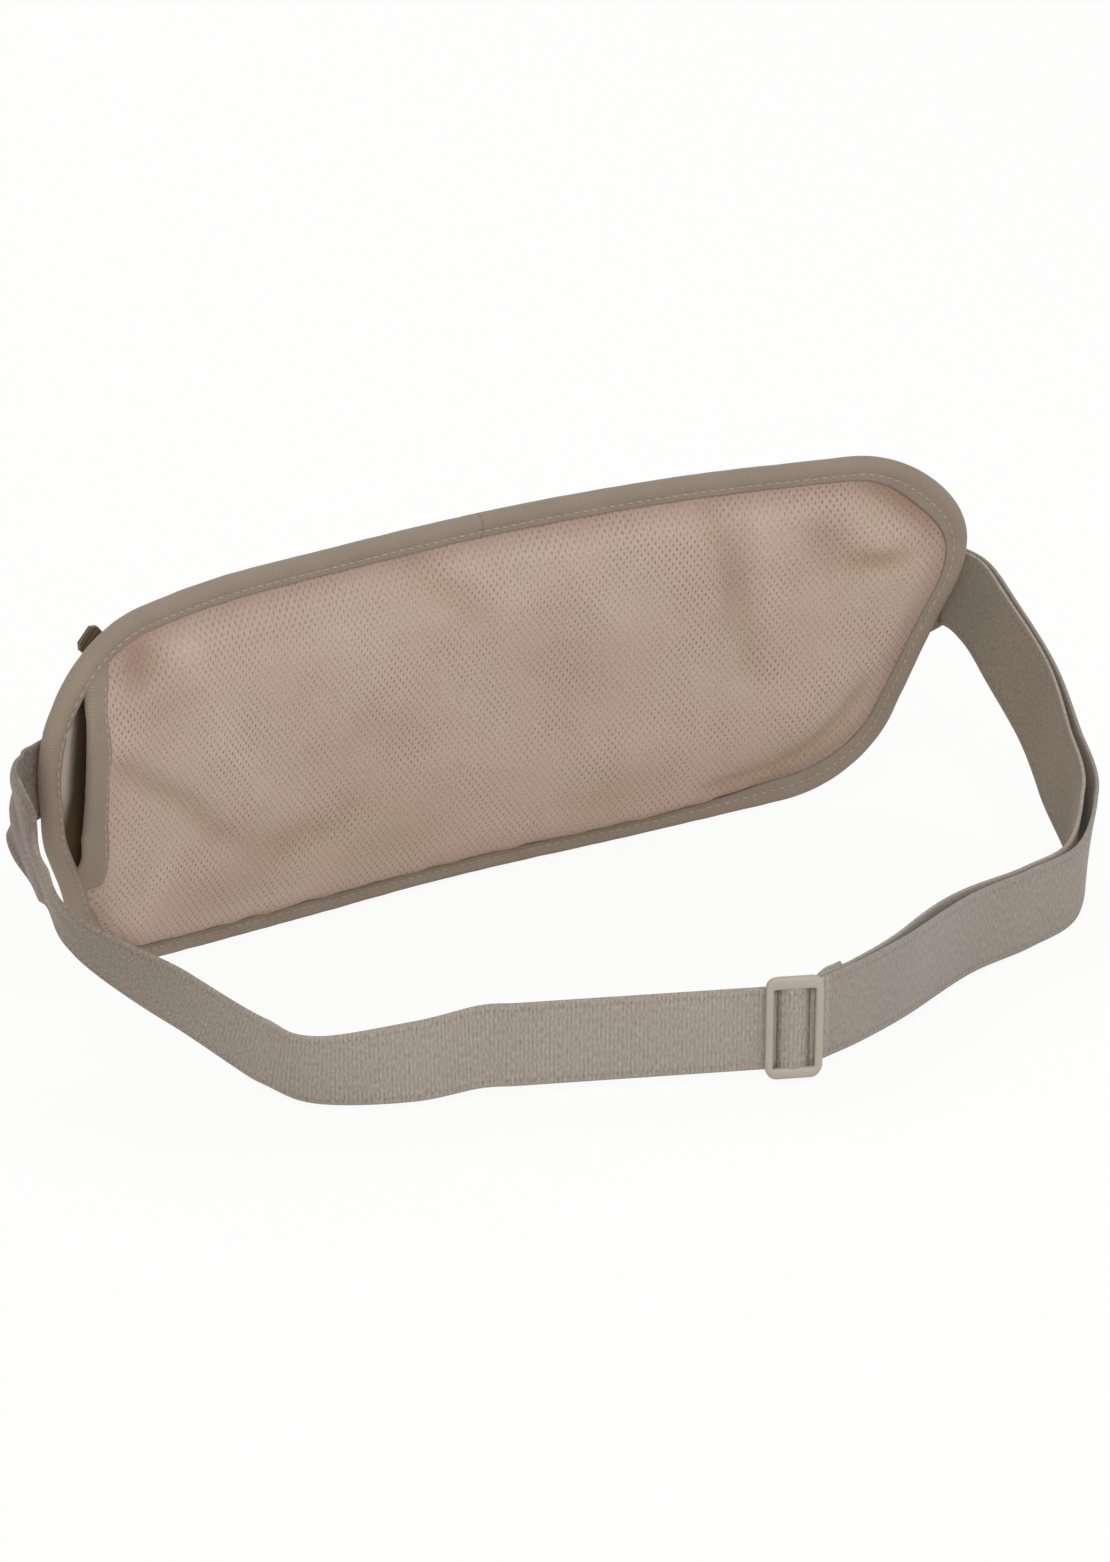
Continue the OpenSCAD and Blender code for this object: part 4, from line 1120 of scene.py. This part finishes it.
class BELT_OT_strap(BeltStep, bpy.types.Operator):
    """Makes the elastic strap: the long outer run, the inner layer and the parts that stretch"""

    bl_idname = "money_belt.strap"
    bl_label = "Strap"

    # How much further apart the two layers are at the hook
    slack = 0.8 * MM

    def execute(self, context):
        self.start(context)
        last = len(self.route.right) - 2
        self.outer_layer(last)
        self.inner_layer(last)
        self.adjust_run()
        self.hook_runs(last)
        return {"FINISHED"}

    def layer(self, name, points, across, out, shift=0.0):
        """A strip of the strap's own width and thickness."""
        return strip(name, points, across, out, self.strap.width, self.strap.thickness, shift)

    def outer_layer(self, last):
        """The whole outer layer, from the left end of the pouch to the hook."""
        route = self.route
        left, left_lean = route.stretch(route.left, 1, len(route.left) - 2)
        right, right_lean = route.stretch(route.right, 1, last - 1)
        share = np.linspace(0, 1, 110)[1:-1, None]
        run = route.run_start + (route.right[1, :3] - route.run_start) * share
        points = np.concatenate([left, run, right])
        leans = np.concatenate([left_lean, np.zeros(len(run)), right_lean])
        across, out = route.frames(points, leans)
        obj = self.layer("strap_outer", points, across, out)
        self.crease(obj, points, out)
        self.webbing(obj, "pouch", ["left_strap", "front_strap", "right_outer_strap"])
        self.turn_face(obj, points, route.right[2, 0])

    def crease(self, obj, points, out):
        """Crumples the strap where it turns sharply at the left end of the pouch."""
        side = strip_section(self.strap.width, self.strap.thickness)[:, 0]
        co = np.zeros(len(obj.data.vertices) * 3, dtype=np.float32)
        obj.data.vertices.foreach_get("co", co)
        co = co.reshape(len(points), len(side), 3)
        way = way_along(points)[:, None]
        share = ramp(way, 9, 8) * ramp(-way, -74, 26)
        pleats = np.sin((side / (10 * MM) + way / (46 * MM)) * 2 * math.pi)
        wave = share * (0.35 * pleats + 0.9 * crumple(way + 0.6 * side, side * 0.7, 27))
        co += out[:, None] * (wave * 1.2 * MM)[:, :, None]
        obj.data.vertices.foreach_set("co", co.ravel())
        # Painted shade over the crumpled turn, darkest in the creases
        mark(obj, "crush_shade", np.clip(ramp(-way, -150, 90) * (0.7 - 0.5 * wave), 0, 1))

    def turn_face(self, obj, points, start_x):
        """Beyond the adjuster the outer layer shows the other, slanting face of the webbing, in a darker copy
        of its colour that is painted shade.
        """
        obj.data.materials.append(self.materials["elastic_webbing_slant_face"])
        first = np.argmax(points[:, 0] > start_x)
        columns = len(obj.data.vertices) // len(points)
        index = np.zeros(len(obj.data.polygons), dtype=np.int32)
        obj.data.polygons.foreach_get("material_index", index)
        beyond = np.arange(len(index)) >= first * columns
        index[beyond & (index == 0)] = 2
        obj.data.polygons.foreach_set("material_index", index)

    def inner_layer(self, last):
        """The inner layer, which hangs loose in two places."""
        points, across, out = self.route.right_part(3, last - 1)
        share = np.linspace(0, 1, len(points))
        loose = sum(depth * np.exp(-(((share - at) / 0.12) ** 2)) for depth, at in ((2.4, 0.2), (2.0, 0.56)))
        shift = -self.route.layer - self.slack * share - loose * MM
        obj = self.layer("strap_inner", points, across, out, shift)
        self.webbing(obj, "pouch", ["right_inner_strap"])

    def adjust_run(self):
        """The part of the inner layer that stretches when the adjuster slides."""
        points, across, out = self.route.right_part(1, 3)
        obj = self.layer("strap_adjust_run", points, across, out, -self.route.layer)
        self.stretching(obj, "adjuster", "adjust_strap", points[-1], points[0])

    def hook_runs(self, last):
        """The ends of both layers, which part to go round the hook's bar and stretch with the hook."""
        points, across, out = self.route.right_part(last - 1, last)
        share = smooth(np.linspace(0, 1, len(points)))
        for name, node, begin, end in (
                ("strap_hook_outer", "hook_outer_strap", 0.0, self.route.hook_wrap),
                ("strap_hook_inner", "hook_inner_strap", -self.route.layer - self.slack,
                 -self.route.hook_wrap)):
            obj = self.layer(name, points, across, out, begin + (end - begin) * share)
            self.stretching(obj, "hook", node, points[0], points[-1])

    def stretching(self, obj, body, node, held, pulled):
        """Gives a part of the strap between the pouch and a moving body its two faces, fixes its points in
        place and hides its solid; the body and the held and pulled ends are not used.
        """
        for face in ("elastic_webbing", "elastic_webbing_inner_face"):
            obj.data.materials.append(self.materials[face])
        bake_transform(obj)
        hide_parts(node)


def rounded_loop(half_x, half_z, r, steps=8):
    """Closed rounded rectangle, as points in a plane."""
    points = []
    for quarter, (x, z) in enumerate(((1, 1), (-1, 1), (-1, -1), (1, -1))):
        a = np.radians(90 * quarter + np.linspace(0, 90, steps + 1))
        points.append(np.stack([x * (half_x - r) + r * np.cos(a), z * (half_z - r) + r * np.sin(a)], 1))
    return np.concatenate(points)


class BELT_OT_adjuster(BeltStep, bpy.types.Operator):
    """Makes the three-bar adjuster, the strap that bulges over its middle bar and the sewn end"""

    bl_idname = "money_belt.adjuster"
    bl_label = "Adjuster"

    def execute(self, context):
        self.start(context)
        self.along, self.up = self.route.run_dir, np.array([0, 0, 1.0])
        self.back = np.cross(self.up, self.along)
        self.centre = self.route.run_end - self.along * ADJUSTER_IN
        # How far behind the front run the sewn end lies before and behind the middle bar
        self.near = self.route.layer
        self.far = self.near + self.strap.thickness + 2 * CLEAR + ADJUSTER_BAR
        self.bars()
        self.window()
        self.sewn_end()
        return {"FINISHED"}

    def at(self, along, back, up):
        """Points by their distances from the adjuster's middle."""
        return from_origin(self.centre, (self.along, self.back, self.up), along, back, up)

    def bars(self):
        """The rounded frame, and the middle bar that is set back behind the strap."""
        low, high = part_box("adjuster_frame")
        half_l, half_h, bar = 8.2 * MM, (high.z - low.z) / 2, 1.15 * MM
        front = -(self.strap.thickness / 2 + 0.3 * MM + 1.05 * MM)
        x, z = rounded_loop(half_l - bar, half_h - bar - 0.75 * MM, 2.2 * MM).T
        # The lower cross bar sits a little higher, and both are stouter than the side bars
        z = z + 0.9 * MM * ramp(-z - half_h, -6, 3)
        stout = bar + 0.8 * MM * ramp(np.abs(z) - half_h, -4, 2)
        line, sides = self.at(x, front, z), 16
        ahead = unit(np.roll(line, -1, 0) - np.roll(line, 1, 0))
        loop = rings_round(line, unit(np.cross(ahead, self.back)), self.back, stout, bar, sides, 0.8)
        faces = [tuple(f) for f in grid_faces(len(line), sides, around_rows=True, around_columns=True)]
        # Shares of the way back and up along the middle bar, which joins the frame at both ends
        ends = np.array([[0, -1], [0.2, -1], [0.75, -0.93], [1, -0.85], [1, -0.4], [1, 0], [1, 0.4],
                         [1, 0.85], [0.75, 0.93], [0.2, 1], [0, 1]])
        back = front + ((self.near + self.far) / 2 - front) * ends[:, 0]
        line = self.at(0, back, ends[:, 1] * (half_h - bar - 1.0 * MM) + 0.4 * MM)
        over = np.cross(unit(np.gradient(line, axis=0)), self.along)
        middle = rings_round(line, self.along, over, 1.5 * MM, 0.75 * MM, 12)
        count = loop.shape[0] * sides
        faces += [tuple(v + count for v in face) for face in tube_faces(len(line), 12)]
        points = np.concatenate([loop.reshape(-1, 3), middle.reshape(-1, 3)])
        obj = new_mesh("adjuster_bars", points, faces)
        self.dress(obj, "moulded_acetal_adjuster", "adjuster", "adjuster_plastic", ["adjuster_frame"])

    def window(self):
        """The strap where it bulges forward over the middle bar, between the side bars."""
        half = 4.5 * MM
        s = np.linspace(-half, half, 46)
        rise = np.cos(s / half * math.pi / 2) ** 0.8
        line = self.at(s, -(0.2 * MM + 2.1 * MM * rise), 0.25 * MM)
        start = np.linalg.norm(self.centre - self.route.run_start)
        across, out = flat_frames(line, self.up)
        obj = strip("strap_over_bar", line, across, out, self.strap.width + 0.6 * MM, 1.0 * MM, 0.0, start)
        # Painted shade at both ends, where the strap tucks back behind the side bars
        tuck_shade = smooth((np.abs(s) / half - 0.62) / 0.38)
        mark(obj, "crush_shade", np.repeat(tuck_shade, len(obj.data.vertices) // len(s)))
        self.webbing(obj, "adjuster", ())

    def bent(self, x):
        """How far the sewn end bends back and rises with the strap that it lies on."""
        return 0.085 * MM * np.maximum(x / MM - 5.5, 0) ** 1.8, 2.6 * MM * ramp(x, 5, 6)

    def sewn_end(self):
        """The strap end that is wrapped round the middle bar and sewn to itself."""
        thick, near, far = self.strap.thickness, self.near, self.far
        under, r = near + thick + 0.05 * MM, (far - near) / 2
        turn = np.radians(np.linspace(-90, -270, 15))
        first, level, step, tail = (
            np.linspace(*ends) * MM for ends in ((9, 0, 16), (0, 2.6, 5), (3.2, 5.6, 6), (6.4, 15, 9)))
        x = np.concatenate([first, -1.0 * MM + (r + 0.6 * MM) * np.cos(turn), level, step, tail])
        y = np.concatenate([
            near + 0.5 * MM * ramp(first, 4, 6), near + r + r * np.sin(turn), np.full(len(level), far),
            far + (under - far) * smooth(np.linspace(0.15, 1, len(step))),
            under + 0.5 * MM * ramp(tail, 4, 6)])
        back, rise = self.bent(x)
        line = self.at(x, y + back, rise)
        obj = strip("strap_sewn_end", line, *flat_frames(line, self.up), self.strap.width, thick)
        self.webbing(obj, "adjuster", ["adjuster_strap_end"])
        # Two rows of stitches across the tail
        x, z = np.repeat([9.4, 13.4], 11) * MM, np.tile(np.linspace(-10.5, 10.5, 11), 2) * MM
        back, rise = self.bent(x)
        face = under + thick / 2 + 0.5 * MM * ramp(x, 4, 6)
        self.sew("strap_end_stitches", self.at(x, face + back, z + rise), self.up, self.back, "adjuster")


class BELT_OT_hook(BeltStep, bpy.types.Operator):
    """Makes the keeper and the sewn strap end of the hook, and finishes the hook"""

    bl_idname = "money_belt.hook"
    bl_label = "Hook"

    def execute(self, context):
        self.start(context)
        self.finish_solid("closure_hook", "moulded_acetal_hook", 0.35 * MM)
        self.along = self.route.hook_dir
        self.out = unit(self.shape.place(HOOK_X, HOOK_Z, 1 * MM) - self.shape.place(HOOK_X, HOOK_Z, 0.0))
        self.up = np.cross(self.along, self.out)
        self.sewn_end()
        self.keeper()
        return {"FINISHED"}

    def at(self, along, out, up):
        """Points by their distances from the hook's place."""
        return from_origin(self.route.hook_at, (self.along, self.out, self.up), along, out, up)

    def sewn_end(self):
        """The strap end that is wrapped round the hook's end bar."""
        r = self.route.hook_wrap
        turn = np.radians(np.linspace(90, 270, 17))
        legs = np.linspace(HOOK_STRAP + 0.7 * MM, HOOK_BAR, 8)[:-1]
        x = np.concatenate([legs, HOOK_BAR + r * np.cos(turn), legs[::-1]])
        y = np.concatenate([np.full(len(legs), r), r * np.sin(turn), np.full(len(legs), -r)])
        line = self.at(x, y, 0)
        across, out = flat_frames(line, self.up)
        obj = strip("hook_sewn_end", line, across, out, self.strap.width, self.strap.thickness)
        self.webbing(obj, "hook", ["hook_strap_end"])

    def keeper(self):
        """The loop of webbing that holds the hook, sewn down at both feet."""
        foot, top = 6.8, 9.4
        half = np.array([
            [0, top], [4, top], [7.4, top], [8.5, 9.25], [9.1, 8.7], [9.35, 8.0], [9.6, 7.4],
            [10.3, 6.95], [11.2, foot], [13.5, foot], [15.8, foot]])
        z, n = (np.concatenate([half[:0:-1] * [-1, 1], half]) * MM).T
        line = self.at(0, n - HOOK_N, z)
        obj = strip("hook_keeper", line, *flat_frames(line, self.along), 10 * MM, 1.15 * MM)
        self.webbing(obj, "pouch", ["hook_loop"])
        z, x = np.array([-14.6, -13.4, -12.2, 12.2, 13.4, 14.6]) * MM, np.linspace(-3.6, 3.6, 4) * MM
        points = self.at(np.tile(x, len(z)), (foot + 0.6) * MM - HOOK_N, np.repeat(z, len(x)))
        self.sew("keeper_stitches", points, self.along, self.out)


def seen_share(tree):
    """1 for rays that see the background: from the camera, off a glossy face or through glass."""
    ray = add_node(tree, "LightPath").outputs
    seen = add_node(tree, "Math", {0: ray["Is Camera Ray"], 1: ray["Is Glossy Ray"]}, operation="MAXIMUM")
    return add_node(tree, "Math", {0: seen, 1: ray["Is Transmission Ray"]}, operation="MAXIMUM")


class BELT_OT_stage(bpy.types.Operator):
    """Makes the floor, the soft studio light and the camera"""

    bl_idname = "money_belt.stage"
    bl_label = "Stage"

    def execute(self, context):
        scene = context.scene
        for name in ("Cube", "Light", "Camera"):
            if name in bpy.data.objects:
                bpy.data.objects.remove(bpy.data.objects[name])
        scene.view_settings.view_transform = "Standard"
        self.floor()
        self.world(scene)
        self.lamps(scene)
        self.camera(scene)
        return {"FINISHED"}

    def floor(self):
        """White paper, which glows to white where it is seen, so that only the contact shadow stays."""
        half, below = 4.0, 0.6 * MM
        corners = [(-half, -half, 0), (half, -half, 0), (half, half, 0), (-half, half, 0)]
        floor = new_mesh("floor", corners, [(0, 1, 2, 3)])
        floor.location.z = -below
        material = bpy.data.materials.new("white_paper_sweep")
        material.use_nodes = True
        tree = material.node_tree
        tree.nodes.remove(tree.nodes["Principled BSDF"])
        share = add_node(tree, "Math", {0: seen_share(tree), 1: 0.92}, operation="MULTIPLY")
        paper = add_node(tree, "BsdfDiffuse", {"Color": linear(PAPER)})
        glow = add_node(tree, "Emission", {"Color": (1, 1, 1, 1), "Strength": 1.0})
        mix = add_node(tree, "MixShader", {0: share, 1: paper, 2: glow})
        set_inputs(tree, tree.nodes["Material Output"], {"Surface": mix})
        floor.data.materials.append(material)

    def world(self, scene):
        """Even white light, which is seen as white."""
        world = bpy.data.worlds.new("studio")
        scene.world = world
        world.use_nodes = True
        tree = world.node_tree
        strength = add_node(tree, "MapRange", {"Value": seen_share(tree), "To Min": 0.62, "To Max": 1.0})
        set_inputs(tree, tree.nodes["Background"], {"Color": (1, 1, 1, 1), "Strength": strength})

    def lamps(self, scene):
        """Three large soft lamps: one from the left, a weaker one from the right and one behind."""
        for name, place, size, power in (
                ("key_softbox", (-0.9, -1.8, 1.7), 1.2, 21),
                ("fill_softbox", (1.6, -1.2, 1.3), 1.6, 5),
                ("back_softbox", (0.3, 1.7, 1.6), 1.5, 9)):
            lamp = bpy.data.lights.new(name, "AREA")
            lamp.size = size
            lamp.energy = power
            obj = bpy.data.objects.new(name, lamp)
            obj.location = place
            aim = Vector((0, -0.07, 0.05)) - Vector(place)
            obj.rotation_euler = aim.to_track_quat("-Z", "Y").to_euler()
            scene.collection.objects.link(obj)

    def camera(self, scene):
        """The camera of the photograph."""
        # The belt's middle falls left of and above the middle of the 1110 x 1562 picture
        picture, target_at, focal = (1110, 1562), (447.5, 688.7), 6404.5
        distance, target = 1.9, np.array([0, 0, 0.06])
        azimuth, elevation = math.radians(-33.09), math.radians(20.85)
        back = np.array([math.sin(azimuth) * math.cos(elevation),
                         -math.cos(azimuth) * math.cos(elevation), math.sin(elevation)])
        right = np.array([math.cos(azimuth), math.sin(azimuth), 0])
        up = np.cross(back, right)
        aside = (picture[0] / 2 - target_at[0]) / focal
        above = (target_at[1] - picture[1] / 2) / focal
        look = -back + right * aside + up * above
        data = bpy.data.cameras.new("photo_camera")
        data.sensor_width = 36
        data.lens = focal / max(picture) * data.sensor_width
        data.clip_end = 50
        camera = bpy.data.objects.new("photo_camera", data)
        camera.location = target + back * distance
        # The photo is turned by a third of a degree
        roll = Quaternion((0, 0, 1), math.radians(0.35))
        camera.rotation_euler = (Vector(look).to_track_quat("-Z", "Y") @ roll).to_euler()
        scene.collection.objects.link(camera)
        scene.camera = camera


class BELT_PT_panel(bpy.types.Panel):
    """Lists the steps and the settings of the money belt"""

    bl_idname = "BELT_PT_panel"
    bl_label = "Money Belt"
    bl_space_type = "VIEW_3D"
    bl_region_type = "UI"
    bl_category = "Money Belt"

    def draw(self, context):
        belt = context.scene.money_belt
        for group in (belt.pouch, belt.strap, belt.colours):
            box = self.layout.box()
            for key in group.__annotations__:
                box.prop(group, key)
        for step in STEPS:
            self.layout.operator(step.bl_idname)


STEPS = (
    BELT_OT_stage, BELT_OT_pouch_cloth, BELT_OT_edge_binding, BELT_OT_pocket_mouth, BELT_OT_zip,
    BELT_OT_strap, BELT_OT_adjuster, BELT_OT_hook)
CLASSES = (PouchSizes, StrapSizes, BeltColours, MoneyBelt) + STEPS + (BELT_PT_panel,)


def register():
    for item in CLASSES:
        bpy.utils.register_class(item)
    bpy.types.Scene.money_belt = PointerProperty(type=MoneyBelt)


def unregister():
    del bpy.types.Scene.money_belt
    for item in reversed(CLASSES):
        bpy.utils.unregister_class(item)


def main():
    register()
    bpy.ops.money_belt.stage()
    bpy.ops.money_belt.pouch_cloth()
    bpy.ops.money_belt.edge_binding()
    bpy.ops.money_belt.pocket_mouth()
    bpy.ops.money_belt.zip()
    bpy.ops.money_belt.strap()
    bpy.ops.money_belt.adjuster()
    bpy.ops.money_belt.hook()


if __name__ == "__main__":
    main()
